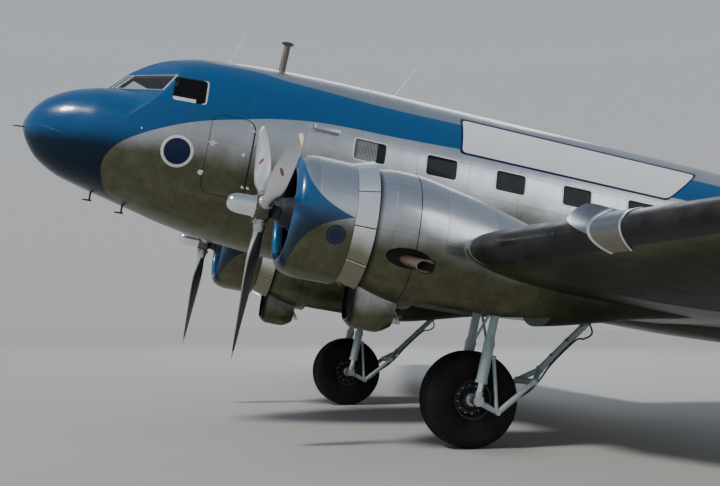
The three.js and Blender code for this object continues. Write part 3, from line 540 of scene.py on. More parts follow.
def fuselage_quarter(height_column, upper, xs, columns, grow):
    """One port quarter of the fuselage's skin, above or below its greatest width."""
    rows = [fuselage_at(x) for x in xs]

    def place(row, column):
        values = rows[row]
        middle, half_width = values[5], values[4]
        height = values[height_column] - middle
        angle = pi / 2 * column / (columns - 1)
        out, up = cos(angle), sin(angle) * (1 if upper else -1)
        reach = rounded_reach(out, up, half_width, abs(height), FUSELAGE_ROUND) + grow
        across = 0 if column == columns - 1 else -reach * out
        return xyz(values[0], across, middle + reach * up)

    return sheet(len(xs), columns, place)


def fuselage_body(grow=0.0, start=0.006, end=19.05, columns=33):
    """The fuselage as a closed shape, with the two flat faces of its windscreen."""
    table = [row for row in FUSELAGE if start < row[0] < end]
    xs = stations([(start,), *table, (end,)], 0.06)
    normal = screen_normal()
    face = WINDSCREEN[0] + normal * grow
    quarters = [fuselage_quarter(3, False, xs, columns, grow)]
    for height_column, side in ((2, True), (1, False)):
        quarter = fuselage_quarter(height_column, True, xs, columns, grow)
        bmesh.ops.bisect_plane(
            quarter, geom=quarter.verts[:] + quarter.edges[:] + quarter.faces[:], dist=1e-5, plane_co=face,
            plane_no=normal, clear_outer=side, clear_inner=not side)
        quarters.append(quarter)
    bm = joined(*quarters)
    bmesh.ops.remove_doubles(bm, verts=bm.verts, dist=2e-5)
    on_face = {vert for vert in bm.verts if abs((vert.co - face).dot(normal)) < 4e-5}
    rim = [edge for edge in bm.edges if edge.is_boundary and set(edge.verts) <= on_face]
    centre = sorted((vert for vert in on_face if abs(vert.co.y) < 1e-5), key=lambda vert: vert.co.z)
    if len(centre) > 1:
        rim.append(bm.edges.new((centre[0], centre[-1])))
        bmesh.ops.contextual_create(bm, geom=rim)
    bmesh.ops.mirror(
        bm, geom=bm.verts[:] + bm.edges[:] + bm.faces[:], matrix=Matrix.Identity(4), merge_dist=2e-5,
        axis="Y")
    return closed(bm)


# Materials


class Signal:
    """A value in a material's node tree. Sums, products and comparisons add nodes; | and & take the larger
    and the smaller of two values."""

    def __init__(self, graph, socket):
        self.graph, self.socket = graph, socket

    def __abs__(self):
        return self.graph.math("ABSOLUTE", self)


def signal_method(operation, turned=False):
    """A method that adds one node of arithmetic, with its two values the other way round if turned."""
    def method(self, other):
        return self.graph.math(operation, *((other, self) if turned else (self, other)))
    return method


for sign, operation in {
    "add": "ADD", "sub": "SUBTRACT", "mul": "MULTIPLY", "truediv": "DIVIDE",
    "or": "MAXIMUM", "and": "MINIMUM", "gt": "GREATER_THAN", "lt": "LESS_THAN",
}.items():
    setattr(Signal, f"__{sign}__", signal_method(operation))
    setattr(Signal, f"__r{sign}__", signal_method(operation, True))


class Graph:
    """The node tree of a material or the world, built from small steps."""

    def __init__(self, owner):
        self.owner = owner
        owner.use_nodes = True
        owner.node_tree.nodes.clear()

    def node(self, kind, inputs=None, **settings):
        node = self.owner.node_tree.nodes.new("ShaderNode" + kind)
        for key, value in settings.items():
            setattr(node, key, value)
        for key, value in (inputs or {}).items():
            self.put(node.inputs[key], value)
        return node

    def put(self, socket, value):
        if isinstance(value, Signal):
            self.owner.node_tree.links.new(value.socket, socket)
        else:
            socket.default_value = value

    def value(self, kind, inputs=None, output=0, **settings):
        """What one output of a new node gives."""
        return Signal(self, self.node(kind, inputs, **settings).outputs[output])

    def math(self, operation, *values):
        return self.value("Math", dict(enumerate(values)), operation=operation)

    def mix(self, share, a, b, kind="RGBA"):
        node = self.node("Mix", data_type=kind)
        sockets = [socket for socket in node.inputs if socket.enabled]
        for socket, value in zip(sockets, (share, a, b)):
            self.put(socket, value)
        return Signal(self, next(socket for socket in node.outputs if socket.enabled))

    def choose(self, share, a, b):
        """One number or another, or a mixture."""
        return self.mix(share, a, b, "FLOAT")

    def place(self):
        return self.value("TexCoord", output="Object")

    def split(self, vector):
        return [Signal(self, socket) for socket in self.node("SeparateXYZ", {"Vector": vector}).outputs]

    def level(self):
        """The aircraft's own x, y and z of a point, and them as a vector."""
        origin = AIRCRAFT.to_translation()
        inputs = {"Vector": self.place(), "Location": origin, "Rotation": (0, GROUND_ANGLE, 0)}
        vector = self.value("Mapping", inputs, vector_type="TEXTURE")
        return *self.split(vector), vector

    def noise(self, where, scale, detail=2.0, rough=0.5):
        inputs = {"Vector": where, "Scale": scale, "Detail": detail, "Roughness": rough}
        return self.value("TexNoise", inputs, "Fac", normalize=True)

    def spread(self, value, low, high, to_low=0.0, to_high=1.0, smooth=False):
        inputs = {"Value": value, "From Min": low, "From Max": high, "To Min": to_low, "To Max": to_high}
        kind = "SMOOTHSTEP" if smooth else "LINEAR"
        return self.value("MapRange", inputs, interpolation_type=kind, clamp=True)

    def curve(self, value, points):
        """A curve through points of input and output."""
        lows, highs = [[pick(point[i] for point in points) for i in (0, 1)] for pick in (min, max)]
        node = self.node("FloatCurve", {"Value": self.spread(value, lows[0], highs[0])})
        line = node.mapping.curves[0]
        while len(line.points) < len(points):
            line.points.new(0.5, 0.5)
        for point, place in zip(line.points, points):
            point.location = [(place[i] - lows[i]) / (highs[i] - lows[i]) for i in (0, 1)]
            point.handle_type = "AUTO_CLAMPED"
        node.mapping.update()
        return self.spread(Signal(self, node.outputs[0]), 0, 1, lows[1], highs[1])

    def distance(self, a, b):
        return self.math("SQRT", a * a + b * b)

    def near_lines(self, value, pitch, width):
        """One near evenly spaced lines, nought elsewhere."""
        return self.spread(self.math("PINGPONG", value, pitch / 2), width * 0.5, width, 1.0, 0.0)

    def rivets(self, along, across, pitch, spacing, inset, size=0.004):
        """Rows of rivet heads either side of evenly spaced seams."""
        off_row = self.math("PINGPONG", across, pitch / 2) - inset
        off_rivet = self.math("PINGPONG", along, spacing / 2)
        return self.spread(self.distance(off_row, off_rivet), size * 0.5, size, 1.0, 0.0)

    def bump(self, height, distance, strength=1.0, normal=None):
        inputs = {"Height": height, "Distance": distance, "Strength": strength}
        if normal:
            inputs["Normal"] = normal
        return self.value("Bump", inputs)

    def finish(self, normal=None, **inputs):
        """Ends the tree in one principled shader. Keys name its sockets, with spaces as underscores."""
        inputs = {key.replace("_", " "): value for key, value in inputs.items()}
        if normal:
            inputs["Normal"] = normal
        self.node("OutputMaterial", {"Surface": self.value("BsdfPrincipled", inputs)})
        return self.owner


def rgb(value):
    return *value[:3], 1


def sheet_metal(graph, u, v, where, panel, patch=0.10):
    """Riveted aluminium sheet over two surface distances: its tone, roughness and normal."""
    rivet = 0.028
    column = graph.math("FLOOR", u / panel[0])
    row = graph.math("FLOOR", v / panel[1])
    stagger = column * 7.31 + row * 3.17
    chance = graph.value("TexWhiteNoise", {"W": stagger}, "Value", noise_dimensions="1D")
    broad = graph.noise(where, 1.7, 3)
    fine = graph.noise(where, 26, 4, 0.65)
    streaks = graph.noise(
        graph.value("VectorMath", {0: where, 1: (0.7, 9, 9)}, operation="MULTIPLY"), 2.2, 3)
    seams = graph.near_lines(u, panel[0], 0.0022) | graph.near_lines(v, panel[1], 0.0022)
    heads = graph.rivets(v, u, panel[0], rivet, 0.018) | graph.rivets(u, v, panel[1], rivet, 0.018)
    tone = chance * patch + broad * 0.08 + fine * 0.05 + 0.8 - seams * 0.45
    rough = chance * (patch * 0.8) + streaks * 0.14 + 0.15 + seams * 0.2
    height = heads * 0.7 - seams
    waves = graph.noise(where, 2.6, 1)
    normal = graph.bump(waves, 0.01, 0.6)
    normal = graph.bump(height, 0.0012, 0.6, normal)
    return tone, rough, normal


def shade(graph, tone, colour):
    """A colour made lighter or darker by a tone about one."""
    return graph.value("VectorMath", {0: colour[:3], "Scale": tone}, operation="SCALE")


def faces_down(graph, where, lift=0.0):
    """Nought on top of a shape and one underneath, with an uneven border."""
    facing = graph.split(graph.value("TexCoord", output="Normal"))[2]
    uneven_border = (graph.noise(where, 0.9, 5, 0.6) - 0.5) * 0.45
    return graph.spread(facing + uneven_border, -0.24 - lift, 0.18 - lift, 1, 0, smooth=True)


def enamel(graph, tone, where, settings):
    """Blue paint, deeper in tone underneath."""
    # Painted shade: the tone falls to 0.16 on faces turned down.
    shadow = graph.spread(faces_down(graph, where), 0, 1, 1, 0.16)
    return shade(graph, graph.spread(tone, 0.4, 1, 0.78, 1.08) * shadow, settings.blue)


def bare_metal(graph, tone, rough, where, settings):
    """Aluminium, bright above, and dull and stained where it faces the ground: colour and roughness."""
    reflection_share = faces_down(graph, where)
    reflection_tone = tone * graph.spread(graph.noise(where, 4, 7, 0.72), 0.3, 0.7, 0.68, 1.32)
    # Painted reflection: faces turned down take the dark olive of the ground in place of the bright metal.
    colour = graph.mix(reflection_share, shade(graph, tone, settings.metal), shade(graph, reflection_tone, settings.dull_metal))
    return colour, rough + reflection_share * 0.1


# Livery lines on the fuselage's side: x and height
METAL_TOP = (
    (1.09, -0.45), (1.10, -0.37), (1.21, -0.18), (1.42, -0.02), (1.77, 0.16), (2.18, 0.32), (2.68, 0.45),
    (3.32, 0.59), (3.85, 0.65), (4.83, 0.68), (5.70, 0.72),
)
METAL_CHIN = ((1.09, -0.45), (1.12, -0.56), (1.2, -0.7), (1.4, -0.8), (1.7, -0.9), (2.0, -1.0), (2.1, -1.3))
STRIPE_LOW = ((5.70, 0.72), (7.00, 0.73), (12.0, 0.72), (14.0, 0.68), (16.0, 0.60), (19.1, 0.44))
STRIPE_HIGH = (
    (2.20, 1.24), (2.60, 1.25), (3.30, 1.18), (4.01, 1.14), (4.89, 1.11), (5.80, 1.12), (12.0, 1.10),
    (14.0, 1.00), (16.0, 0.84), (19.1, 0.58),
)
ROOF_FRONT = ((1.98, 0.02), (2.02, 0.24), (2.10, 0.41), (2.26, 0.55), (2.50, 0.625))


def fuselage_skin(settings):
    """Blue nose and stripe, bare metal belly and roof, and a pale band with a blue edge over the cabin."""
    graph = Graph(bpy.data.materials.new("fuselage_skin"))
    x, y, z, where = graph.level()
    side = abs(y)
    around = graph.math("ARCTAN2", z - 0.115, side) * 1.24
    tone, rough, normal = sheet_metal(graph, x + 0.2, around, where, settings.panel_size, patch=0.07)
    top = graph.curve(x, METAL_TOP) & 3
    low_line = graph.choose(x > 5.7, top, graph.curve(x, STRIPE_LOW))
    metal = z < low_line
    metal = metal * (z > graph.curve(x, METAL_CHIN))
    metal = metal * (x > 1.095)
    belly = x > 2.09
    below = z < -0.5
    metal = metal | belly * below
    roof = z > graph.curve(x, STRIPE_HIGH)
    front_roof = (side < graph.curve(x, ROOF_FRONT)) * (z > 1)
    front_roof = front_roof * (x > 1.98)
    roof = graph.choose(x > 2.5, front_roof, roof)
    metal = metal | roof
    slant = x - (z - 0.63) * 1.16
    front = 5.66 - (x - z * 0.1)
    band = graph.math("SMOOTH_MAX", front, slant - 8.93, 0.1)
    heights = abs(z - 0.955) - 0.285
    band = graph.math("SMOOTH_MAX", band, heights, 0.1)
    pale = band < -0.022
    edge = (band < 0.012) - pale
    painted_share = 1 - metal
    painted_share = painted_share | (band < 0.012)
    ring = graph.distance(x - 1.98, z + 0.11)
    disc = ring < 0.205
    rim = disc * (ring > 0.168)
    painted_share = painted_share | disc
    blue = enamel(graph, tone, where, settings)
    paint = graph.mix(edge, blue, rgb(settings.navy))
    paint = graph.mix(disc, paint, rgb(settings.navy))
    paint = graph.mix(rim, paint, rgb((0.62, 0.62, 0.6)))
    white = shade(graph, graph.spread(tone, 0.4, 1, 0.8, 1.02), settings.white)
    paint = graph.mix(pale, paint, white)
    gloss = (rough + 0.02) * 0.9
    bare, rough = bare_metal(graph, tone, rough, where, settings)
    colour = graph.mix(painted_share, bare, paint)
    metallic = 1 - painted_share
    roughness = graph.choose(painted_share, rough, gloss)
    coat = painted_share * graph.spread(faces_down(graph, where), 0, 1, 0.4, 0.04)
    return graph.finish(
        normal, Base_Color=colour, Metallic=metallic, Roughness=roughness, Coat_Weight=coat,
        Coat_Roughness=0.06, Specular_IOR_Level=0.2)


def wing_skin(settings):
    graph = Graph(bpy.data.materials.new("wing_skin"))
    x, y, z, where = graph.level()
    side = abs(y)
    swept = x - (side - 4.27 | 0) * 0.17
    span = side + (z - 0.6 | 0)
    tone, rough, normal = sheet_metal(graph, span, swept, where, (1.1, 0.52), patch=0.05)
    colour, rough = bare_metal(graph, tone, rough, where, settings)
    return graph.finish(normal, Base_Color=colour, Metallic=1, Roughness=rough)


def nacelle_skin(settings):
    graph = Graph(bpy.data.materials.new("nacelle_skin"))
    x, y, z, where = graph.level()
    out = abs(y) - ENGINE_Y
    around = graph.math("ARCTAN2", z - -0.9, out) * 0.7
    tone, rough, normal = sheet_metal(graph, x + 0.06, around, where, (0.62, 0.55))
    grime = graph.noise(where, 5, 5, 0.6)
    low = graph.spread(z, -1.75, -1.1, 1, 0)
    dirt = graph.spread(grime, 0.5, 0.72) * low
    bare, rough = bare_metal(graph, tone, rough, where, settings)
    gill_end = COWL["rear"] + COWL_FLAPS["length"]
    # Painted shadow: the skin just aft of the gill flaps goes nearly black, as if in the shade of the gap
    # under them.
    bare = graph.mix(
        graph.spread(x, gill_end + 0.02, gill_end + 0.1, 0.97, 0, smooth=True), bare, (0.01, 0.01, 0.01, 1))
    colour = graph.mix(dirt * 0.55, bare, (0.09, 0.075, 0.06, 1))
    rough = rough + dirt * 0.25
    return graph.finish(normal, Base_Color=colour, Metallic=1, Roughness=rough)


def cowl_skin(settings):
    """Blue round the cowling's lip, running aft to a point halfway up each side, over bare metal."""
    graph = Graph(bpy.data.materials.new("cowl_skin"))
    x, y, z, where = graph.level()
    out = abs(y) - ENGINE_Y
    up = z - THRUST_Z
    angle = graph.math("ARCTAN2", abs(up), abs(out))
    reach = graph.math("EXPONENT", angle / -0.2356)
    edge = reach * 0.6 + COWL["front"] + 0.055
    painted_share = x < edge
    round_angle = graph.math("ARCTAN2", up, out) * COWL["radius"]
    from_disc = graph.distance(x - 3.65, round_angle + 0.2205)
    disc = from_disc < 0.11
    ring = (from_disc < 0.084) * (from_disc > 0.076)
    tone, rough, normal = sheet_metal(graph, x + 0.34, round_angle, where, (0.75, 0.738))
    blue = enamel(graph, tone, where, settings)
    bare, rough = bare_metal(graph, tone, rough, where, settings)
    colour = graph.mix(painted_share, bare, blue)
    colour = graph.mix(disc, colour, rgb(settings.navy))
    colour = graph.mix(ring, colour, (0.02, 0.06, 0.07, 1))
    painted_share = painted_share | disc
    metallic = 1 - painted_share
    coat = painted_share * graph.spread(faces_down(graph, where), 0, 1, 0.4, 0.04)
    return graph.finish(
        normal, Base_Color=colour, Metallic=metallic, Roughness=rough, Coat_Weight=coat, Coat_Roughness=0.06)


def worn(name, colour, second, metallic, rough, scale=14.0, bump=0.0006, spots=0.25, under=None):
    """A surface of one colour with patches of a second and uneven gloss, and another tone underneath."""
    graph = Graph(bpy.data.materials.new(name))
    where = graph.place()
    broad = graph.noise(where, scale * 0.25, 4, 0.6)
    fine = graph.noise(where, scale * 4, 5, 0.65)
    patches = graph.spread(broad * 0.65 + fine * 0.35, 0.62 - spots * 0.4, 0.72 - spots * 0.1)
    mixed = graph.mix(patches, rgb(colour), rgb(second))
    roughness = graph.spread(broad + fine * 0.5, 0.3, 1.1, rough[0], rough[1])
    # Under is a painted reflection of the ground, on faces turned down.
    if under:
        mixed = graph.mix(faces_down(graph, where, 0.22), mixed, rgb(under))
    normal = graph.bump(fine, bump, 0.8)
    return graph.finish(normal, Base_Color=mixed, Metallic=metallic, Roughness=roughness)


def fabric_skin(settings):
    """Silver-doped fabric over ribs."""
    graph = Graph(bpy.data.materials.new("fabric_dope"))
    x, y, z, where = graph.level()
    side = abs(y)
    upright = side < 0.2
    along_span = graph.choose(upright, side, z)
    from_rib = graph.math("PINGPONG", along_span, FABRIC["ribs"] / 2)
    tape = graph.spread(from_rib, 0.016, 0.02, 1, 0)
    weave = graph.noise(where, 420, 2)
    patch = graph.noise(where, 3, 4)
    tone = patch * 0.14 + 0.86 - tape * 0.22
    height = tape + weave * 0.25
    normal = graph.bump(height, 0.0016, 0.9)
    rough = patch * 0.2 + 0.36
    return graph.finish(normal, Base_Color=shade(graph, tone, settings.dope), Metallic=0.35, Roughness=rough)


def glass(name, tint, rough=0.02):
    graph = Graph(bpy.data.materials.new(name))
    where = graph.place()
    smears = graph.noise(where, 9, 4)
    roughness = graph.spread(smears, 0.35, 0.7, rough, rough + 0.06)
    return graph.finish(None, Base_Color=rgb(tint), Roughness=roughness, Transmission_Weight=1, IOR=1.2)


def dark_glass(settings):
    """Window glass with the dark cabin behind it."""
    graph = Graph(bpy.data.materials.new("cabin_glass"))
    where = graph.place()
    smears = graph.noise(where, 7, 4)
    colour = graph.mix(smears, (0.01, 0.012, 0.014, 1), (0.03, 0.034, 0.036, 1))
    roughness = graph.spread(smears, 0.3, 0.7, 0.03, 0.1)
    return graph.finish(None, Base_Color=colour, Roughness=roughness, Specular_IOR_Level=0.12)


def tyre_rubber(settings):
    graph = Graph(bpy.data.materials.new("tread_rubber"))
    where = graph.place()
    dust = graph.noise(where, 3.5, 6, 0.65)
    grain = graph.noise(where, 160, 3)
    colour = graph.mix(graph.spread(dust, 0.42, 0.75), (0.005, 0.005, 0.0055, 1), (0.024, 0.021, 0.018, 1))
    roughness = graph.spread(dust, 0.3, 0.7, 0.55, 0.88)
    return graph.finish(
        graph.bump(grain, 0.0007, 0.7), Base_Color=colour, Roughness=roughness, Specular_IOR_Level=0.2)


def boot_rubber(settings):
    """The black rubber of an inflatable leading edge, with its tubes running along it."""
    graph = Graph(bpy.data.materials.new("boot_rubber"))
    x, y, z, where = graph.level()
    chalk = graph.noise(where, 4, 5, 0.6)
    tubes = graph.math("PINGPONG", z, 0.03)
    colour = graph.mix(graph.spread(chalk, 0.4, 0.75), (0.008, 0.008, 0.009, 1), (0.03, 0.03, 0.03, 1))
    normal = graph.bump(tubes * 20 + graph.noise(where, 60, 3), 0.0006, 0.6)
    return graph.finish(
        normal, Base_Color=colour, Roughness=graph.spread(chalk, 0.3, 0.7, 0.26, 0.5),
        Specular_IOR_Level=0.35)


def blade_metal(settings):
    """Propeller blades: pale bare metal in front, matt black behind, pale tips and one small red oval."""
    graph = Graph(bpy.data.materials.new("blade_metal"))
    uv = graph.value("TexCoord", output="UV")
    where = graph.place()
    u, v, _ = graph.split(uv)
    scuffs = graph.noise(where, 30, 5, 0.65)
    broad = graph.noise(where, 5, 4)
    tone = broad * 0.16 + scuffs * 0.1 + 0.76
    rear = (u > 0.59) * (u < 0.91)
    tip = v > 0.945
    du = (u - 0.25) / 0.055
    dv = (v - 0.5) / 0.03
    oval = du * du + dv * dv < 1
    oval = oval * (u < 0.5)
    bare = shade(graph, tone, (0.74, 0.75, 0.76))
    back = shade(graph, tone, (0.035, 0.036, 0.038))
    colour = graph.mix(rear, bare, back)
    colour = graph.mix(oval, colour, (0.16, 0.025, 0.02, 1))
    colour = graph.mix(tip, colour, (0.83, 0.76, 0.52, 1))
    painted_share = rear | tip | oval
    metallic = (1 - painted_share) * 0.85
    rough = graph.choose(painted_share, graph.spread(scuffs, 0.3, 0.7, 0.28, 0.42), 0.5)
    return graph.finish(
        graph.bump(scuffs, 0.0004, 0.5), Base_Color=colour, Metallic=metallic, Roughness=rough)


def build_materials(settings):
    """Makes every material of the aircraft"""
    fuselage_skin(settings)
    wing_skin(settings)
    nacelle_skin(settings)
    cowl_skin(settings)
    fabric_skin(settings)
    dark_glass(settings)
    tyre_rubber(settings)
    boot_rubber(settings)
    blade_metal(settings)
    glass("screen_glass", (0.86, 0.93, 0.92))
    glass("red_glass", (0.8, 0.03, 0.02), 0.08)
    glass("green_glass", (0.02, 0.6, 0.2), 0.08)
    worn("gear_enamel", settings.gear, (0.2, 0.19, 0.17), 0, (0.34, 0.62), spots=0.12)
    worn("bare_alloy", (0.56, 0.58, 0.6), (0.32, 0.32, 0.31), 1, (0.24, 0.48))
    worn("polished_alloy", (0.86, 0.87, 0.88), (0.66, 0.67, 0.69), 1, (0.07, 0.22), bump=0.0003)
    # The under colours of the gill flaps and the wing cuffs are painted reflections of the ground.
    worn(
        "flap_alloy", (0.93, 0.94, 0.95), (0.74, 0.75, 0.77), 1, (0.2, 0.38), bump=0.0003,
        under=(0.24, 0.24, 0.17))
    worn(
        "cuff_alloy", (0.22, 0.25, 0.28), (0.11, 0.13, 0.15), 1, (0.3, 0.52), spots=0.4,
        under=(0.3, 0.29, 0.25))
    worn("oily_steel", (0.16, 0.15, 0.14), (0.05, 0.045, 0.04), 0.8, (0.28, 0.55), spots=0.5)
    # The crankcase is nearly black: painted shade, deep inside the cowling.
    worn("crankcase_grey", (0.03, 0.034, 0.038), (0.014, 0.014, 0.014), 0.2, (0.35, 0.6), spots=0.35)
    worn("cylinder_black", (0.03, 0.03, 0.032), (0.1, 0.09, 0.08), 0.3, (0.45, 0.7), spots=0.4)
    worn("finned_alloy", (0.13, 0.13, 0.125), (0.05, 0.045, 0.04), 0.8, (0.35, 0.6), spots=0.4)
    worn("scorched_steel", (0.52, 0.37, 0.31), (0.3, 0.18, 0.14), 0.35, (0.5, 0.75), spots=0.45)
    # Black for soot round the exhausts, and painted shade inside the cowlings.
    worn("soot_black", (0.008, 0.008, 0.008), (0.03, 0.026, 0.022), 0, (0.6, 0.9), spots=0.4)
    worn("black_enamel", (0.02, 0.02, 0.022), (0.06, 0.058, 0.055), 0, (0.35, 0.6))
    worn("black_hose", (0.016, 0.016, 0.016), (0.05, 0.05, 0.048), 0, (0.45, 0.7))
    worn("well_green", (0.2, 0.24, 0.19), (0.1, 0.11, 0.09), 0.1, (0.5, 0.75), spots=0.3)
    worn("cabin_dark", (0.035, 0.036, 0.034), (0.06, 0.058, 0.052), 0, (0.6, 0.85))
    worn("cabin_lining", (0.3, 0.31, 0.28), (0.2, 0.2, 0.18), 0, (0.6, 0.85))
    worn("seat_leather", (0.11, 0.05, 0.03), (0.05, 0.025, 0.018), 0, (0.4, 0.65))
    worn("window_frame", (0.72, 0.73, 0.73), (0.48, 0.49, 0.5), 0.6, (0.25, 0.5))
    worn("curtain_cloth", (0.23, 0.26, 0.25), (0.15, 0.17, 0.16), 0, (0.8, 0.95), scale=30)
    worn("white_enamel", (0.76, 0.77, 0.76), (0.62, 0.62, 0.6), 0, (0.25, 0.45))
    worn("mast_brown", (0.11, 0.1, 0.085), (0.05, 0.045, 0.04), 0.2, (0.4, 0.6))
    worn("brass_fitting", (0.55, 0.4, 0.16), (0.3, 0.2, 0.08), 1, (0.25, 0.5))


# Wings


def half_thickness(share, thickness):
    s = share
    return 5 * thickness * (
        0.2969 * sqrt(s) - 0.126 * s - 0.3516 * s**2
        + 0.2843 * s**3 - 0.1015 * s**4)


def camber_height(share, camber):
    peak = 0.4
    if share < peak:
        return camber / peak**2 * (2 * peak * share - share**2)
    return camber / (1 - peak) ** 2 * (1 - 2 * peak + 2 * peak * share - share**2)


def outline_share(column, columns):
    """Share of the chord and the side, round an aerofoil from its trailing edge over the top."""
    half = columns // 2
    side = 1 if column < half else -1
    step = half - column if side > 0 else column - half
    return (1 - cos(pi * step / half)) / 2, side


def wing_point(row, share, surface):
    """A point of a wing section at a share of its chord, on its upper (1) or lower (-1) surface."""
    y, x, chord, z, thickness = row
    height = camber_height(max(share, 0), WING_CAMBER) + surface * half_thickness(max(share, 0), thickness)
    back, up = share * chord, height * chord
    return xyz(
        x + back * cos(INCIDENCE) + up * sin(INCIDENCE), y,
        z - back * sin(INCIDENCE) + up * cos(INCIDENCE))


def straight(table, position):
    """A row of a table at a position, in straight lines between its rows."""
    last = len(table) - 1
    at = next((i for i in range(last) if position <= table[i + 1][0]), last - 1)
    a, b = table[at], table[at + 1]
    share = (position - a[0]) / (b[0] - a[0])
    return [position, *(p + (q - p) * share for p, q in zip(a[1:], b[1:]))]


def slack(position, aft):
    """How thick covered framework is at a place: fabric sinks between the ribs, away from the hinge."""
    free = min(abs(aft) / FABRIC["held"], 1)
    return 1 - FABRIC["sink"] * free * sin(pi * position / FABRIC["ribs"]) ** 2


def wing_body(table, ys, hinge=None):
    """A wing, or with the share of the chord at its hinge the fabric covered body of an aileron."""
    columns = 80
    rows = [along(table, y) if abs(y) > 13.5 else straight(table, y) for y in ys]

    def place(row, column):
        share, surface = outline_share(column, columns)
        y, x, chord, z, thickness = rows[row]
        if hinge:
            thickness *= slack(y, (share - hinge) * chord)
        return wing_point((y, x, chord, z, thickness), share, surface)

    return closed(sheet(len(ys), columns, place, wrap=True))


def flap_body(table, span, grow):
    """A split flap in the wing's lower surface, or with grow the recess that it leaves."""
    back, under = (0.6, 0.06) if grow else (0, 0)
    ys = [span[0] - grow, span[1] + grow]

    def corners(y):
        row = straight(table, y)
        low = [wing_point(row, FLAP["from"] + (FLAP["to"] - FLAP["from"]) * i / 6, -1) for i in range(7)]
        ring = [point - xyz(0, 0, under) for point in low]
        ring[0].x -= grow
        ring.append(low[-1] + xyz(back, 0, -under))
        ring.append(low[-1] + xyz(back if grow else 0, 0, FLAP["back"] + grow))
        ring.append(low[0] + xyz(-grow, 0, FLAP["front"] + grow))
        return ring

    rings = [corners(ys[0] + (ys[1] - ys[0]) * i / 12) for i in range(13)]
    if not grow:
        for ring in rings:
            del ring[7]
    return closed(sheet(len(rings), len(rings[0]), lambda row, column: rings[row][column], wrap=True))


def hinge_matrix(start, end):
    """A frame with y along a hinge and x aft."""
    way = (end - start).normalized()
    up = xyz(1, 0, 0).cross(way).normalized()
    aft = way.cross(up)
    return axes(aft, way, up, start)


def hinged_space(start, end, radii, grow, horn):
    """The space of a hinged surface: a round nose, all aft of it, and beyond its span the horn balance."""
    matrix = hinge_matrix(start, end)
    length = (end - start).length
    far = 6
    nose = rod((0, -grow, 0), (0, length + grow, 0), radii[0] + grow, radii[1] + grow, sides=48)
    space = combine(
        nose, block((0, -grow, -far / 4), (far, far if horn else length + grow, far / 4)), "UNION")
    if horn:
        space = combine(space, block((-far, length - grow, -far / 4), (far, far, far / 4)), "UNION")
    return moved(space, matrix)


def hinged(make, covered, start, end, radii, horn):
    """The fixed and the fabric covered moving part of a surface, split at a hinge."""
    fixed = combine(make(), hinged_space(start, end, radii, RUNNING, horn))
    moving = combine(covered(), hinged_space(start, end, radii, 0, horn), "INTERSECT")
    return fixed, moving


def build_wings(settings):
    """Builds the wings, ailerons and flaps"""
    centre = wing_body(CENTRE_WING, [-4.27 + 8.54 * i / 40 for i in range(41)])
    for side in (-1, 1):
        recess = flap_body(CENTRE_WING, FLAP["inner"], RUNNING)
        centre = combine(centre, painted(sided(recess, side), 1))
        x, y, z = 6.3, side * 1.75, -1.216
        centre = joined(centre, block((x - 0.065, y - 0.065, z), (x + 0.065, y + 0.065, z + 0.12), 0.006))
    add_piece("centre_wing", centre, "wing_skin well_green", "wing_centre_section")
    for name, side in SIDES:
        add_piece(
            f"inner_flap_{name}", sided(flap_body(CENTRE_WING, FLAP["inner"], 0), side), "wing_skin",
            f"flap_inner_{name}", f"flap_inner_{name}")
        ys = stations(OUTER_WING[:5], 0.2) + stations(OUTER_WING[4:], 0.035)[1:]
        hinge = [wing_point(straight(OUTER_WING, y), AILERON["from"], 0) for y in AILERON["span"]]
        fine = spaced(AILERON["span"][0] - 0.1, AILERON["span"][1] + 0.05, 132)
        fixed, moving = hinged(
            lambda: wing_body(OUTER_WING, ys), lambda: wing_body(OUTER_WING, fine, hinge=AILERON["from"]),
            *hinge, AILERON["radii"], False)
        fixed = combine(fixed, painted(flap_body(OUTER_WING, FLAP["outer"], RUNNING), 1))
        add_piece(
            f"wing_{name}", sided(fixed, side), "wing_skin well_green", f"outer_wing_{name}")
        add_piece(
            f"wing_tip_flap_{name}", sided(moving, side), "fabric_dope", f"aileron_{name}",
            f"aileron_{name}")
        add_piece(
            f"outer_flap_{name}", sided(flap_body(OUTER_WING, FLAP["outer"], 0), side), "wing_skin",
            f"flap_outer_{name}", f"flap_outer_{name}")


def wing_top(x):
    """Height of the centre wing's upper surface at a station."""
    row = CENTRE_WING[0]
    return wing_point(row, clamped((x - row[1]) / row[2]), 1).z


def build_fillets(settings):
    """Builds the fairings between wing and fuselage"""
    front, tail, end = 5.21, 9.45, 11
    table = (
        (front, 0.03, 0.03), (5.6, 0.09, 0.08), (6.6, 0.17, 0.14), (7.8, 0.3, 0.26), (8.8, 0.46, 0.42),
        (tail, 0.55, 0.52), (10, 0.36, 0.36), (10.6, 0.15, 0.16), (end, 0.02, 0.03))
    xs = stations(table, 0.08)
    steps = 14

    def place(row, column):
        x, reach, rise = along(table, xs[row])
        low = wing_top(min(x, tail)) + max(x - tail, 0) * 0.09
        depth = 0.008 + 0.03 * clamped((tail - x) / 2)
        side = -skin_point(x, low + rise, -1).y
        if column <= steps:
            angle = pi / 2 * column / steps
            return xyz(x, -(side + reach * (1 - sin(angle))), low + rise * (1 - cos(angle)))
        if column == steps + 1:
            return xyz(x, -(side - 0.04), low + rise)
        if column == steps + 2:
            return xyz(x, skin_point(x, low - depth, -1).y * 0.9, low - depth)
        return xyz(x, -(side + reach), low - depth)

    fillet = closed(sheet(len(xs), steps + 4, place, wrap=True))
    both = joined(fillet, moved(fillet.copy(), MIRROR))
    add_piece("wing_fillets", both, "wing_skin", angle=40)


def wing_row(y):
    """The wing's section at a distance from the middle."""
    if y <= CENTRE_WING[1][0]:
        return [y, *CENTRE_WING[1][1:]]
    return along(OUTER_WING, y) if y > 13.5 else straight(OUTER_WING, y)


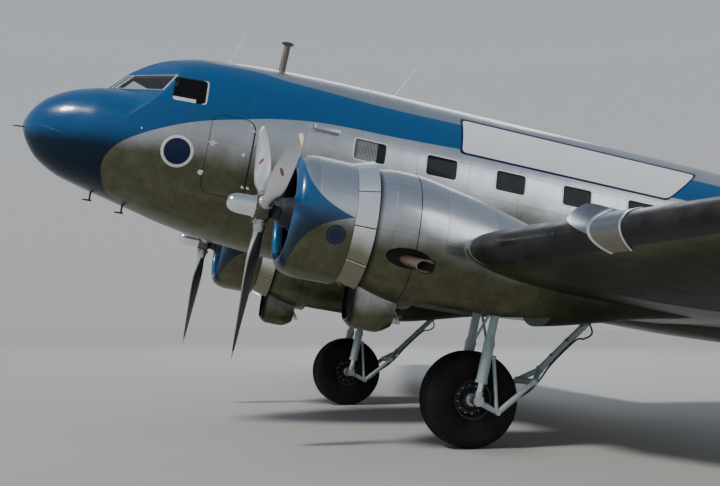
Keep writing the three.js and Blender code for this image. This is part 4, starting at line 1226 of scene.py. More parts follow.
def edge_strip(ys, reach, grow, thickness, columns=29, ends=lambda across: (0.0, 0.0)):
    """A strip round the wing's leading edge; reach and grow give its width and lift on each side,
    and ends how far its inner and outer end are set out along the span."""
    def surface_point(y, across):
        section = wing_row(y)
        surface = 1 if across >= 0 else -1
        return wing_point(section, reach(y, surface) / section[2] * across**2, surface)

    def place(row, column, below=0.0):
        across = column / (columns - 1) * 2 - 1
        share = row / (len(ys) - 1)
        first, last = ends(across)
        y = ys[row] + first * (1 - share) + last * share
        point = surface_point(y, across)
        way = surface_point(y, min(across + 0.02, 1)) - surface_point(y, max(across - 0.02, -1))
        out = xyz(-way.z, 0, way.x).normalized()
        blend = (across + 1) / 2
        lift = grow(y, -1) * (1 - blend) + grow(y, 1) * blend
        return point + out * (lift - below)

    outer = sheet(len(ys), columns, place)
    inner = sheet(len(ys), columns, lambda row, column: place(row, column, thickness))
    strip = joined(outer, inner)
    rims = [edge for edge in strip.edges if edge.is_boundary]
    bmesh.ops.bridge_loops(strip, edges=rims)
    bmesh.ops.recalc_face_normals(strip, faces=strip.faces)
    return strip


def spaced(start, end, count):
    return [start + (end - start) * i / (count - 1) for i in range(count)]


@both_sides
def build_wing_edges(name, side):
    """Builds the leading edge boots and cuffs and the tip lamps"""
    def boot_reach(start, extra):
        def reach(y, surface):
            full = 0.235 - 0.01 * (y - 3.6) + (extra if surface > 0 else 0)
            rounding = min(max((y - start) / 0.2, 0.0004), 1)
            return full * sqrt(1 - (1 - rounding) ** 2)
        return reach

    inner = [3.59 + 0.2 * (i / 14) ** 2 for i in range(15)] + spaced(3.85, 4.27, 6) + spaced(4.3, 5.6, 18)
    outer = spaced(5.75, 14.05, 92)
    boots = joined(
        edge_strip(inner, boot_reach(3.59, 0), lambda y, surface: 0.0045, 0.007),
        edge_strip(outer, boot_reach(4, 0), lambda y, surface: 0.0045, 0.007))
    add_piece(f"deicer_boots_{name}", sided(boots, side), "boot_rubber", angle=60)
    rim = [3.555 + 0.235 * (i / 16) ** 2 for i in range(17)] + spaced(3.82, 4.27, 6) + spaced(4.3, 5.6, 18)
    edges = joined(
        edge_strip(rim, boot_reach(3.555, 0.024), lambda y, surface: 0.0025, 0.005),
        edge_strip(outer, boot_reach(4, 0.02), lambda y, surface: 0.0025, 0.005))
    add_piece(f"boot_edging_{name}", sided(edges, side), "polished_alloy", angle=60)

    def flare(y, surface):
        share = clamped((5.6 - y) / 0.25)
        return 0.012 + (0.12 if surface > 0 else 0.02) * share**1.4

    def cuff_reach(y, surface):
        share = clamped((y - 5.35) / 0.22)
        return (0.3 if surface > 0 else 0.27) * (0.55 + 0.45 * sqrt(share))

    def waist(across):
        return -0.14 * across**2

    def cuff_ends(across):
        share = clamped((0.35 - across) / 0.75)
        return 0.25 * share * share * (3 - 2 * share), waist(across)

    def fold(across):
        return (-0.08 * max(across, 0) ** 2,) * 2

    cuff = edge_strip(spaced(5.35, 5.97, 30), cuff_reach, flare, 0.006, 41, cuff_ends)
    bead = edge_strip(
        spaced(5.575, 5.605, 4), cuff_reach, lambda y, surface: flare(y, surface) + 0.006, 0.008, 41, fold)
    tail = edge_strip(
        spaced(5.95, 5.972, 4), cuff_reach, lambda y, surface: 0.016, 0.007, 41,
        lambda across: (waist(across),) * 2)
    add_piece(
        f"wing_cuff_{name}", sided(joined(cuff, painted(bead, 1), painted(tail, 1)), side),
        "cuff_alloy polished_alloy", angle=40)
    lamp = ball(shift((8.215, 14.29, -0.036)) @ Matrix.Diagonal((0.12, 0.05, 0.04, 1)), 1, 32)
    add_piece(
        f"tip_lamp_{name}", sided(lamp, side), "red_glass" if side < 0 else "green_glass")


# Tail


def tail_body(table, positions, upright, hinge=None):
    """A tail surface, or with its hinge's station the fabric covered body of a rudder or elevator."""
    columns = 64
    rows = [along(table, position) for position in positions]

    def place(row, column):
        station, front, back, thickness = rows[row]
        share, surface = outline_share(column, columns)
        x = front + share * (back - front)
        if hinge:
            thickness *= slack(station, x - hinge)
        across = surface * half_thickness(share, thickness)
        return xyz(x, across, station) if upright else xyz(x, station, TAILPLANE_Z + across)

    return closed(sheet(len(positions), columns, place, wrap=True))


def trimmed(surface, low, high):
    """A moving surface with a trim tab cut into its trailing edge, held by two hinges and a push rod."""
    gap, horn = 0.006, 0.03
    cuts = [block(low, (low[0] + gap, high[1], high[2]))]
    upright = high[2] - low[2] > high[1] - low[1]
    for end in (low, high):
        if upright:
            cuts.append(block((low[0], low[1], end[2] - gap / 2), (high[0], high[1], end[2] + gap / 2)))
        else:
            cuts.append(block((low[0], end[1] - gap / 2, low[2]), (high[0], end[1] + gap / 2, high[2])))
    for cut in cuts:
        surface = combine(surface, cut)
    axis = xyz(0, 0, 1) if upright else xyz(0, 1, 0)
    start, end = Vector(low), Vector(high)
    centre = xyz(low[0] + gap / 2, (low[1] + high[1]) / 2, (low[2] + high[2]) / 2)
    length = (end - start).dot(axis)
    for share in (-0.32, 0.32):
        at = centre + axis * length * share
        surface = joined(surface, painted(rod(at - axis * 0.03, at + axis * 0.03, 0.03, sides=20), 1))
    out = xyz(0, 1, 0) if upright else xyz(0, 0, 1)
    near, far = centre + out * horn + xyz(-0.28, 0, 0), centre + out * (horn + 0.035) + xyz(0.05, 0, 0)
    foot = centre + xyz(0.05, 0, 0)
    return joined(
        surface, painted(rod(near, far, 0.006, sides=10), 1), painted(rod(foot, far, 0.008, sides=10), 1))


def build_tail(settings):
    """Builds the fin, rudder, tailplanes and elevators"""
    for name, side in SIDES:
        ys = stations(TAILPLANE[:4], 0.15) + stations(TAILPLANE[3:], 0.04)[1:]
        ends = [xyz(ELEVATOR["x"], y, TAILPLANE_Z) for y in ELEVATOR["span"]]
        fine = stations(TAILPLANE, 0.035)
        fixed, moving = hinged(
            lambda: tail_body(TAILPLANE, ys, False),
            lambda: tail_body(TAILPLANE, fine, False, hinge=ELEVATOR["x"]), *ends, ELEVATOR["radii"], True)
        add_piece(f"tailplane_{name}", sided(fixed, side), "wing_skin", f"stabiliser_{name}")
        moving = trimmed(moving, (18.13, 0.9, TAILPLANE_Z - 0.3), (19, 2.3, TAILPLANE_Z + 0.3))
        add_piece(
            f"tail_elevator_{name}", sided(moving, side), "fabric_dope bare_alloy",
            f"elevator_{name}", f"elevator_{name}")
    zs = stations(FIN[:9], 0.1) + stations(FIN[8:], 0.035)[1:]
    ends = [xyz(RUDDER["x"], 0, z) for z in RUDDER["span"]]
    fine = stations(FIN, 0.035)
    fixed, moving = hinged(
        lambda: tail_body(FIN, zs, True), lambda: tail_body(FIN, fine, True, hinge=RUDDER["x"]), *ends,
        RUDDER["radii"], True)
    add_piece("tail_fin", fixed, "wing_skin", "fin")
    moving = trimmed(moving, (19.3, -0.3, 1.2), (20.5, 0.3, 2.25))
    add_piece("tail_rudder", moving, "fabric_dope bare_alloy", "rudder", "rudder")


# Fuselage with its openings, glass and door


def pane_corners(side):
    normal = screen_normal()
    start = WINDSCREEN[0]
    found = []
    for across, z in WINDSCREEN_PANE:
        x = start.x - (normal.y * (-across - start.y) + normal.z * (z - start.z)) / normal.x
        found.append(xyz(x, side * across, z))
    return found


def inset_corners(corners, margin):
    middle = sum(corners, Vector()) / len(corners)
    return [corner + (middle - corner).normalized() * margin for corner in corners]


def grown(low, high, by):
    """Two opposite corners of a rectangle, set out by a distance."""
    return [place - by for place in low], [place + by for place in high]


def side_plate(low, high, radius, ys):
    """A slab with a round-cornered outline in x and z, between two distances to the side."""
    outline = [xyz(x, ys[0], z) for x, z in rounded_outline(low, high, radius)]
    return plate(outline, xyz(0, 1, 0), 0, ys[1] - ys[0])


def cabin_window_boxes():
    for i in range(CABIN_WINDOW["count"]):
        x = CABIN_WINDOW["first"] + i * CABIN_WINDOW["pitch"]
        half, tall = CABIN_WINDOW["width"] / 2, CABIN_WINDOW["height"] / 2
        yield ((x - half, CABIN_WINDOW["z"] - tall), (x + half, CABIN_WINDOW["z"] + tall))


def side_window(side, grow=0.0):
    """A slab in the outline of a cockpit side window, through the skin."""
    x, z = SIDE_WINDOW["x"], SIDE_WINDOW["z"]
    ys = sorted((side * 0.7, side * 1.4))
    return side_plate((x[0] - grow, z[0] - grow), (x[1] + grow, z[1] + grow), 0.045 + grow, ys)


def skin_point(x, z, side):
    """The point of the fuselage's skin at a station and height."""
    _, _, roof, belly, half_width, middle = fuselage_at(x)
    height = roof - middle if z > middle else middle - belly
    share = min(abs((z - middle) / height), 1)
    return xyz(x, side * half_width * (1 - share**FUSELAGE_ROUND) ** (1 / FUSELAGE_ROUND), z)


def skin_frame(x, z, side):
    """A frame on the fuselage's skin with its x axis outwards and its z axis up the skin."""
    step = 0.02
    aft = skin_point(x + step, z, side) - skin_point(x - step, z, side)
    up = (skin_point(x, z + step, side) - skin_point(x, z - step, side)).normalized()
    out = aft.cross(up).normalized() * -side
    return axes(out, up.cross(out), up, skin_point(x, z, side))


def skin_strip(slab, start, end, out, depth):
    """The part of a slab that lies near the fuselage's skin."""
    strip = combine(fuselage_body(out, start, end, columns=40), slab, "INTERSECT")
    return combine(strip, fuselage_body(-depth, start - 0.05, end + 0.05, columns=40))


def seam(low, high, radius, width, side, rear=None):
    """A groove in the skin along a round-cornered outline, which may be wider along its rear edge."""
    ys = sorted((side * 0.55, side * 1.4))
    wide = [ys[0] - 0.1, ys[1] + 0.1]
    ring = combine(
        side_plate(low, high, radius, ys),
        side_plate(
            (low[0] + width, low[1] + width), (high[0] - (rear or width), high[1] - width), radius - width,
            wide))
    return skin_strip(ring, low[0] - 0.2, high[0] + 0.2, 0.02, 0.012)


def screen_plate(side, margin, below, above):
    """A plate on one half of the windscreen, smaller or larger than its opening by a margin."""
    normal = screen_normal()
    normal.y *= -side
    return plate(inset_corners(pane_corners(side), margin), normal, below, above)


def build_fuselage(settings):
    """Builds the fuselage with its openings"""
    body = fuselage_body()
    cockpit = combine(fuselage_body(-0.045, 0.9, 3.2), block((1.02, -2, -0.42), (3, 2, 2)), "INTERSECT")
    holes = Shapes()
    holes.put(1, cockpit)
    for side in (-1, 1):
        for low, high in cabin_window_boxes():
            ys = sorted((side * 0.93, side * 1.5))
            holes.put(3, side_plate(low, high, 0.045, ys))
    x, z = DOOR["x"], DOOR["z"]
    gap = DOOR["gap"]
    holes.put(1, block((x[0] - gap, -1.4, z[0] - gap), (x[1] + DOOR["rear_gap"], -0.62, z[1] + gap)))
    body = combine(body, joined(*holes))
    body = combine(body, joined(*[painted(screen_plate(side, 0, 0.09, 0.09), 2) for side in (-1, 1)]))
    body = combine(body, joined(*[painted(side_window(side), 2) for side in (-1, 1)]))
    seams = [
        seam(*CREW_DOOR, 0.14, 0.007, -1, 0.02), seam(*NOSE_HATCH, 0.06, 0.006, 1),
        seam(*HOLD_DOOR, 0.08, 0.007, -1)]
    body = combine(body, painted(joined(*seams), 3))
    add_piece(
        "fuselage", body, "fuselage_skin cabin_lining window_frame cabin_dark",
        "nose_cap fuselage_nose fuselage_cabin fuselage_door_section fuselage_tail", angle=28)


def build_glass(settings):
    """Builds the windscreen, side windows and cabin windows"""
    frames, posts = [], []
    for name, side in SIDES:
        corners = pane_corners(side)
        foot, top = corners[0], corners[3]
        post = [foot, foot + (corners[1] - foot) * 0.07, top + (corners[2] - top) * 0.078, top]
        normal = screen_normal()
        normal.y *= -side
        posts.append(plate(post, normal, 0.01, 0.006))
        edge = [post[1], foot + (corners[1] - foot) * 0.092, top + (corners[2] - top) * 0.102, post[2]]
        frames.append(plate(edge, normal, 0.01, 0.01))
        pane = screen_plate(side, 0.004, 0.018, -0.01)
        add_piece(f"front_pane_{name}", pane, "screen_glass", f"windscreen_{name}")
        pane = skin_strip(side_window(side), 0.9, 2.5, -0.01, 0.016)
        add_piece(f"side_pane_{name}", pane, "screen_glass", f"cockpit_window_{name}")
        frames.append(
            combine(screen_plate(side, -0.012, 0.008, 0.008), screen_plate(side, 0.01, 0.03, 0.03)))
        ring = combine(side_window(side, 0.01), side_window(side, -0.01))
        x, z = SIDE_WINDOW["x"], SIDE_WINDOW["z"]
        ys = sorted((side * 0.7, side * 1.4))
        rear = block((x[1] - 0.05, ys[0], z[0]), (x[1] + 0.05, ys[1], z[1]))
        rear = combine(ring, rear, "INTERSECT")
        sill_end = x[0] + 0.7 * (x[1] - x[0])
        sill = block((x[0] - 0.004, ys[0], z[0] - 0.004), (sill_end, ys[1], z[0] + 0.05))
        frames.append(skin_strip(rear, 0.9, 2.6, 0.006, 0.012))
        frames.append(skin_strip(sill, 0.9, 2.6, -0.004, 0.014))
    frames += [painted(post, 1) for post in posts]
    add_piece("cockpit_window_frames", frames, "window_frame black_enamel")
    slabs, rims = [], []
    for side in (-1, 1):
        ys = sorted((side, side * 1.5))
        for low, high in cabin_window_boxes():
            slabs.append(side_plate(low, high, 0.045, ys))
            big = side_plate(*grown(low, high, 0.012), 0.057, ys)
            hole = side_plate(*grown(low, high, -0.006), 0.04, (ys[0] - 0.1, ys[1] + 0.1))
            rims.append(combine(big, hole))
    add_piece(
        "cabin_panes", skin_strip(joined(*slabs), 4, 11.2, -0.014, 0.02), "cabin_glass")
    add_piece(
        "cabin_window_rims", skin_strip(joined(*rims), 4, 11.2, 0.005, 0.013), "window_frame")
    folds = []
    low, high = next(cabin_window_boxes())
    for side in (-1, 1):
        for i in range(22):
            x = low[0] + 0.012 + i * (high[0] - low[0] - 0.024) / 21
            if i / 21 > 0.72:
                continue
            top = skin_point(x, high[1] - 0.012, side) + xyz(0, -side * 0.016, 0)
            foot = skin_point(x, low[1] + 0.012, side) + xyz(0, -side * 0.016, 0)
            folds.append(rod(foot, top, 0.01, sides=10))
    add_piece("front_curtains", folds, "curtain_cloth")


def ring_points(centre, across, up, radius, count=40):
    return [
        Vector(centre) + (Vector(across) * cos(a) + Vector(up) * sin(a)) * radius
        for a in (tau * i / count for i in range(count + 1))]


def build_cockpit(settings):
    """Builds the cockpit's fittings"""
    parts = Shapes()
    parts.put(
        0, block((1.47, -0.56, 0.1), (1.52, 0.56, 0.56), 0.012),
        block((1.44, -0.56, 0.56), (1.6, 0.56, 0.59), 0.01),
        block((1.49, -0.13, -0.42), (1.9, 0.13, 0.3), 0.02),
        block((1.56, -0.26, 1.02), (1.9, 0.26, 1.08), 0.012))
    for row in range(3):
        for column in range(10):
            centre = (1.522, -0.495 + column * 0.11, 0.19 + row * 0.125)
            parts.put(3, sweep(ring_points(centre, (0, 1, 0), (0, 0, 1), 0.042, 20), 0.005, 6))
            parts.rod(4, centre, (1.525, *centre[1:]), 0.038, sides=20)
    for end in (-1, 1):
        y = end * 0.43
        parts.put(1, block((2.08, y - 0.23, -0.06), (2.54, y + 0.23, 0.06), 0.04))
        back = block((2.52, y - 0.23, -0.02), (2.62, y + 0.23, 0.64), 0.04)
        parts.put(1, moved(back, shift((2.52, 0, 0)) @ spun(radians(8), "Y") @ shift((-2.52, 0, 0))))
        parts.rod(2, (2.3, y, -0.42), (2.3, y, -0.05), 0.06, sides=20)
        parts.rod(2, (1.82, y, -0.42), (1.76, y, 0.24), 0.022, sides=16)
        ring = ring_points((1.79, y, 0.3), (0, 1, 0), (-0.25, 0, 0.97), 0.165)
        parts.put(0, sweep(ring[3:-3], 0.013, 10))
        parts.rod(2, (1.79, y - 0.16, 0.3), (1.79, y + 0.16, 0.3), 0.011, sides=12)
        parts.rod(2, (1.59, y, 0.3), (1.8, y, 0.3), 0.018, sides=16)
    add_piece(
        "cockpit_fittings", parts, "black_enamel seat_leather bare_alloy window_frame cabin_dark")


def build_door(settings):
    """Builds the passenger door and its hinges"""
    x, z = DOOR["x"], DOOR["z"]
    outer = combine(fuselage_body(0, 11.9, 13.5), block((x[0], -1.4, z[0]), (x[1], 0, z[1])), "INTERSECT")
    door = combine(outer, painted(fuselage_body(-DOOR["thickness"], 11.8, 13.6), 1))
    hx, hy = DOOR_HINGE["axis"]
    fixed = []
    for height in DOOR_HINGE["heights"]:
        half = DOOR_HINGE["knuckle"] / 2
        radius = DOOR_HINGE["radius"]
        door = joined(
            door, painted(rod((hx, hy, height - half), (hx, hy, height + half), radius, sides=24), 2),
            painted(
                block((hx, hy - radius, height - half), (hx + 0.06, hy + radius / 2, height + half), 0.004),
                2),
            painted(block((x[0], hy, height - half), (hx + 0.06, hy + 0.062, height + half), 0.003), 2))
        fixed.append(rod((hx, hy, height - half - 0.022), (hx, hy, height + half + 0.022), 0.008, sides=16))
        for end in (-1, 1):
            near, far = height + end * (half + 0.0004), height + end * (half + 0.022)
            low, high = min(near, far), max(near, far)
            fixed.append(block((hx - 0.06, hy - radius, low), (hx, hy + 0.062, high), 0.004))
    low, high = DOOR["window"]
    ys = (-1.5, -0.7)
    door = combine(door, painted(side_plate(low, high, 0.045, ys), 1))
    wide = side_plate(*grown(low, high, 0.02), 0.065, ys)
    hole = side_plate(*grown(low, high, -0.006), 0.04, (-1.6, -0.6))
    rim = skin_strip(combine(wide, hole), 11.9, 13.5, 0.005, 0.013)
    pane = skin_strip(side_plate(low, high, 0.045, ys), 11.9, 13.5, -0.01, 0.02)
    handle = skin_frame(12.97, 0.15, -1)
    grip = joined(
        rod((0, 0, 0), (0.03, 0, 0), 0.012, sides=16),
        block((0.024, -0.095, -0.011), (0.036, 0.014, 0.011), 0.004),
        rod((0, 0, 0), (0.006, 0, 0), 0.035, sides=24))
    door = joined(door, painted(rim, 2), painted(pane, 3), painted(moved(grip, handle), 2))
    add_piece(
        "cabin_door", door, "fuselage_skin cabin_lining bare_alloy cabin_glass",
        "passenger_door", "passenger_door", angle=28)
    add_piece("door_hinge_lugs", fixed, "bare_alloy")


# Power plants


def thrust_line(side):
    return shift((0, side * ENGINE_Y, THRUST_Z))


def nacelle_body(grow=0.0):
    columns = 96
    xs = stations(NACELLE, 0.05)
    rows = [along(NACELLE, x) for x in xs]

    def place(row, column):
        x, top, bottom, half_width = rows[row]
        middle = (top + bottom) / 2
        angle = tau * column / columns
        out, up = cos(angle), sin(angle)
        reach = rounded_reach(out, up, half_width, (top - bottom) / 2, NACELLE_ROUND) + grow
        return xyz(x, reach * out - ENGINE_Y, middle + reach * up)

    return closed(sheet(len(xs), columns, place, wrap=True))


@both_sides
def build_nacelles(name, side):
    """Builds the engine nacelles and their wheel wells"""
    x, half = WHEEL_WELL["x"], WHEEL_WELL["half_width"]
    well = block((x[0], -ENGINE_Y - half, -2), (x[1], -ENGINE_Y + half, WHEEL_WELL["top"]))
    nacelle = combine(nacelle_body(), painted(well, 1))
    way = (EXHAUST["to"] - EXHAUST["from"]).normalized()
    nacelle = combine(
        nacelle,
        painted(rod(EXHAUST["from"] - way * 0.001, EXHAUST["to"], EXHAUST["radius"] + 0.004, sides=40), 2))
    shape = shift((4.5, -3.505, -1.16)) @ Matrix.Diagonal((0.265, 0.15, 0.112, 1))
    nacelle = combine(nacelle, painted(ball(shape, 1, 48), 2))
    slab = block((4.556, -4, -2.2), (4.566, -1.5, 0.3))
    groove = combine(combine(nacelle_body(0.01), slab, "INTERSECT"), nacelle_body(-0.008))
    nacelle = combine(nacelle, painted(groove, 2))
    add_piece(
        f"engine_nacelle_{name}", sided(nacelle, -side), "nacelle_skin well_green soot_black",
        f"nacelle_{name}", angle=30)


def cowl_outline():
    """Half outline of the cowling: its rolled lip, outer skin and inner skin."""
    front, rear, radius, mouth = COWL["front"], COWL["rear"], COWL["radius"], COWL["mouth"]
    outer = [
        (front, mouth + 0.055), (front + 0.006, mouth + 0.078), (front + 0.025, radius - 0.092),
        (front + 0.052, radius - 0.058), (front + 0.09, radius - 0.035), (front + 0.15, radius - 0.014),
        (front + 0.21, radius - 0.004), (front + 0.28, radius)]
    lip = [
        (front + 0.11, mouth + 0.012), (front + 0.06, mouth + 0.006), (front + 0.03, mouth + 0.012),
        (front + 0.01, mouth + 0.03)]
    skin = [(point.x, point.z) for point in smoothed([(x, 0, r) for x, r in [*lip, *outer]], 4)]
    inner = radius - COWL["wall"]
    return [*skin, (rear, radius), (rear, inner), (front + 0.3, inner), (front + 0.15, inner - 0.035)]


@both_sides
def build_cowlings(name, side):
    """Builds the cowlings and their gill flaps"""
    cowl = lathe(cowl_outline(), 128)
    # The cowling's inner skin goes in slot 1's black: painted shade inside the cowling.
    for face in cowl.faces:
        middle = face.calc_center_median()
        inwards = face.normal.y * middle.y + face.normal.z * middle.z < 0
        if inwards and middle.x > COWL["front"] + 0.09:
            face.material_index = 1
    add_piece(
        f"engine_cowling_{name}", moved(cowl, thrust_line(side)), "cowl_skin soot_black",
        f"cowling_{name}", angle=40)
    flaps = []
    slope = radians(COWL_FLAPS["open"])
    for i in range(COWL_FLAPS["count"]):
        centre = (i - (COWL_FLAPS["count"] - 1) / 2) * COWL_FLAPS["pitch"]
        half = COWL_FLAPS["sweep"] / 2
        rows = 10
        columns = 9

        def place(row, column):
            share = row / (rows - 1)
            reach = COWL["radius"] + COWL_FLAPS["length"] * sin(slope) * share
            x = COWL["rear"] + 0.004 + (COWL_FLAPS["length"] + 0.01) * cos(slope) * share
            angle = radians(centre + half * (column / (columns - 1) * 2 - 1))
            return xyz(x, reach * sin(angle), reach * cos(angle))

        flap = sheet(rows, columns, place)
        bmesh.ops.solidify(flap, geom=flap.faces[:], thickness=COWL_FLAPS["thickness"])
        bmesh.ops.recalc_face_normals(flap, faces=flap.faces)
        flaps.append(flap)
    add_piece(
        f"gill_flaps_{name}", moved(joined(*flaps), thrust_line(side)), "flap_alloy",
        f"cowl_flaps_{name}")


def cylinder(row, number):
    """One finned engine cylinder with its rocker boxes, push rods and plugs, out from the crankcase."""
    parts = Shapes()
    fins = [(0.3, 0.085), (0.325, 0.085)]
    for i in range(11):
        out = 0.335 + i * 0.0135
        fins += [(out, 0.066), (out, 0.086), (out + 0.004, 0.086), (out + 0.004, 0.066)]
    fins.append((0.49, 0.066))
    barrel = lathe([(0.3, 0), *fins, (0.49, 0)], 20)
    parts.put(1, barrel)
    head = []
    for i in range(9):
        out = 0.488 + i * 0.0135
        size = 0.094 - max(0, i - 5) * 0.006
        head += [(out, 0.068), (out, size), (out + 0.005, size), (out + 0.005, 0.068)]
    parts.put(2, lathe([(0.486, 0), (0.486, 0.068), *head, (0.612, 0.04), (0.614, 0)], 20))
    turn = spun(-pi / 2, "Y")
    parts = Shapes(moved(part, turn) for part in parts)
    for end in (-1, 1):
        foot, tip = xyz(-0.075, end * 0.045, 0.3), xyz(-0.05, end * 0.06, 0.585)
        parts.rod(3, foot, tip, 0.01, sides=10)
        parts.put(2, block((-0.085, end * 0.06 - 0.026, 0.57), (-0.005, end * 0.06 + 0.026, 0.628), 0.01))
        parts.rod(4, (-0.062, end * 0.102, 0.545), (-0.062, end * 0.062, 0.54), 0.008, sides=8)
    angle = -tau * (number + row / 2) / 7
    matrix = shift((CYLINDER_ROWS[row], 0, 0)) @ spun(angle, "X")
    return [moved(part, matrix) for part in parts]


@both_sides
def build_engines(name, side):
    """Builds the radial engines"""
    case = lathe(
        [
            (3.036, 0), (3.036, 0.095), (3.05, 0.105), (3.105, 0.118), (3.12, 0.15), (3.15, 0.162),
            (3.2, 0.172), (3.262, 0.19), (3.268, 0.215), (3.282, 0.216), (3.288, 0.2), (3.32, 0.245),
            (3.345, 0.275), (3.38, 0.312), (3.56, 0.318), (3.568, 0.33), (3.584, 0.33), (3.592, 0.318),
            (3.78, 0.315), (3.8, 0.33), (3.9, 0.32), (3.9596, 0.25), (3.9596, 0)],
        64)
    parts = Shapes()
    parts.put(0, case)
    for row in (0, 1):
        for number in range(7):
            parts += cylinder(row, number)
    ring = [xyz(3.3, 0.262 * sin(a), 0.262 * cos(a)) for a in (tau * i / 60 for i in range(61))]
    parts.put(4, sweep(ring, 0.014, 10))
    for number in range(14):
        angle = tau * (number + 0.25) / 14
        a = xyz(0, sin(angle), cos(angle))
        parts.put(
            5,
            sweep(
                smoothed(
                    [xyz(3.3, 0, 0) + a * 0.27, xyz(3.31, 0, 0) + a * 0.36, xyz(3.375, 0, 0) + a * 0.5], 5),
                0.006, 6))
    for number in range(16):
        angle = tau * number / 16
        a = xyz(0, sin(angle), cos(angle))
        parts.rod(3, xyz(3.255, 0, 0) + a * 0.2, xyz(3.275, 0, 0) + a * 0.2, 0.008, sides=6)
    engine = moved(joined(*parts), thrust_line(side))
    add_piece(
        f"radial_engine_{name}", engine,
        "crankcase_grey cylinder_black finned_alloy bare_alloy oily_steel black_hose",
        f"engine_{name}")


@both_sides
def build_propellers(name, side):
    """Builds the propellers"""
    blades = []
    stations_out = stations(BLADE, 0.035)
    rows = [along(BLADE, radius) for radius in stations_out]
    columns = 36

    def place(row, column):
        radius, chord, thickness = rows[row]
        pitch = atan(BLADE_ADVANCE / (tau * radius)) * min(1, radius / 0.4)
        angle = tau * column / columns
        across, up = chord / 2 * cos(angle), thickness / 2 * sin(angle)
        return xyz(
            BLADE_PLANE - across * sin(pitch) - up * cos(pitch),
            across * cos(pitch) - up * sin(pitch), radius)

    for step in (0, 120, 240):
        blade = closed(sheet(len(rows), columns, place, wrap=True, uv=True))
        blades.append(moved(blade, spun(radians(-(BLADE_ANGLES[name] + step)), "X")))
    add_piece(
        f"blades_{name}", moved(joined(*blades), thrust_line(side)), "blade_metal",
        f"propeller_{name}", f"propeller_assembly_{name}")
    hub = Shapes()
    hub.put(
        0,
        lathe(
            [
                (2.829, 0), (2.829, 0.118), (2.836, 0.128), (2.862, 0.132), (2.868, 0.146), (2.885, 0.15),
                (2.978, 0.15), (2.992, 0.14), (3.01, 0.112), (3.0334, 0.1), (3.0334, 0)],
            64))
    for step in (0, 120, 240):
        angle = -radians(BLADE_ANGLES[name] + step)
        matrix = shift((BLADE_PLANE, 0, 0)) @ spun(angle, "X") @ spun(-pi / 2, "Y")
        sleeve = lathe(
            [
                (0.105, 0), (0.105, 0.078), (0.15, 0.078), (0.156, 0.086), (0.178, 0.086), (0.184, 0.074),
                (0.232, 0.07), (0.24, 0.064), (0.27, 0.062), (0.276, 0)],
            40)
        hub.put(1, moved(sleeve, matrix))
        for bolt in range(8):
            a = tau * bolt / 8
            foot = xyz(0.16, 0.088 * sin(a), 0.088 * cos(a))
            hub.put(2, moved(rod(foot - xyz(0.012, 0, 0), foot + xyz(0.026, 0, 0), 0.007, sides=6), matrix))
    for bolt in range(12):
        a = tau * (bolt + 0.5) / 12
        foot = xyz(2.826, 0.124 * sin(a), 0.124 * cos(a))
        hub.rod(2, foot, foot + xyz(0.02, 0, 0), 0.008, sides=6)
    add_piece(
        f"hub_{name}", moved(joined(*hub), thrust_line(side)), "oily_steel bare_alloy brass_fitting",
        body=f"propeller_assembly_{name}")
    dome = lathe(
        [
            (2.51, 0), (2.511, 0.018), (2.516, 0.042), (2.528, 0.064), (2.548, 0.083), (2.578, 0.099),
            (2.618, 0.109), (2.662, 0.114), (2.73, 0.116), (2.796, 0.116), (2.798, 0.112), (2.804, 0.112),
            (2.806, 0.126), (2.8296, 0.128), (2.8296, 0)],
        72)
    add_piece(
        f"dome_{name}", moved(dome, thrust_line(side)), "polished_alloy",
        f"propeller_dome_{name}", f"propeller_assembly_{name}", angle=50)


@both_sides
def build_under_engine(name, side):
    """Builds the oil cooler scoops and exhaust pipes"""
    xs = stations(OIL_COOLER, 0.03)
    rows = [along(OIL_COOLER, x) for x in xs]

    def ring(row, inset):
        x, top, bottom = rows[row]
        found = []
        for i in range(49):
            angle = pi * i / 48
            reach = rounded_reach(cos(angle), sin(angle), 0.215 - inset, top - bottom - inset, 3.2)
            found.append(xyz(x, -ENGINE_Y - reach * cos(angle), top - reach * sin(angle)))
        return found

    outer = sheet(len(xs), 49, lambda row, column: ring(row, 0)[column])
    bmesh.ops.solidify(outer, geom=outer.faces[:], thickness=0.014)
    scoop = painted(outer, 0)
    bmesh.ops.recalc_face_normals(scoop, faces=scoop.faces)
    core = block((4.23, -ENGINE_Y - 0.165, -1.9), (4.4, -ENGINE_Y + 0.165, -1.5), 0.03)
    flap = block((4.575, -ENGINE_Y - 0.15, -1.895), (4.585, -ENGINE_Y + 0.15, -1.7), 0.003)
    flap = moved(flap, shift((4.58, 0, -1.7)) @ spun(radians(-35), "Y") @ shift((-4.58, 0, 1.7)))
    spindle = rod((4.58, -ENGINE_Y - 0.208, -1.7), (4.58, -ENGINE_Y + 0.208, -1.7), 0.007)
    scoop = joined(scoop, painted(core, 1), painted(flap, 2), painted(spindle, 2))
    add_piece(
        f"oil_cooler_scoop_{name}", sided(scoop, -side), "nacelle_skin oily_steel bare_alloy",
        f"oil_cooler_{name}")
    way = EXHAUST["to"] - EXHAUST["from"]
    length = way.length + 0.1
    pipe = lathe(
        [
            (0, 0), (0, 0.07), (0.02, 0.074), (length, 0.074), (length, 0.068), (length - 0.48, 0.066),
            (length - 0.48, 0)],
        48)
    matrix = shift(EXHAUST["from"]) @ turn_between(xyz(1, 0, 0), way)
    pipe = combine(moved(pipe, shift((0.02, 0.015, 0)) @ matrix), nacelle_body(-0.036), "INTERSECT")
    add_piece(
        f"tail_pipe_{name}", sided(pipe, -side), "scorched_steel", f"exhaust_pipe_{name}")


# Landing gear


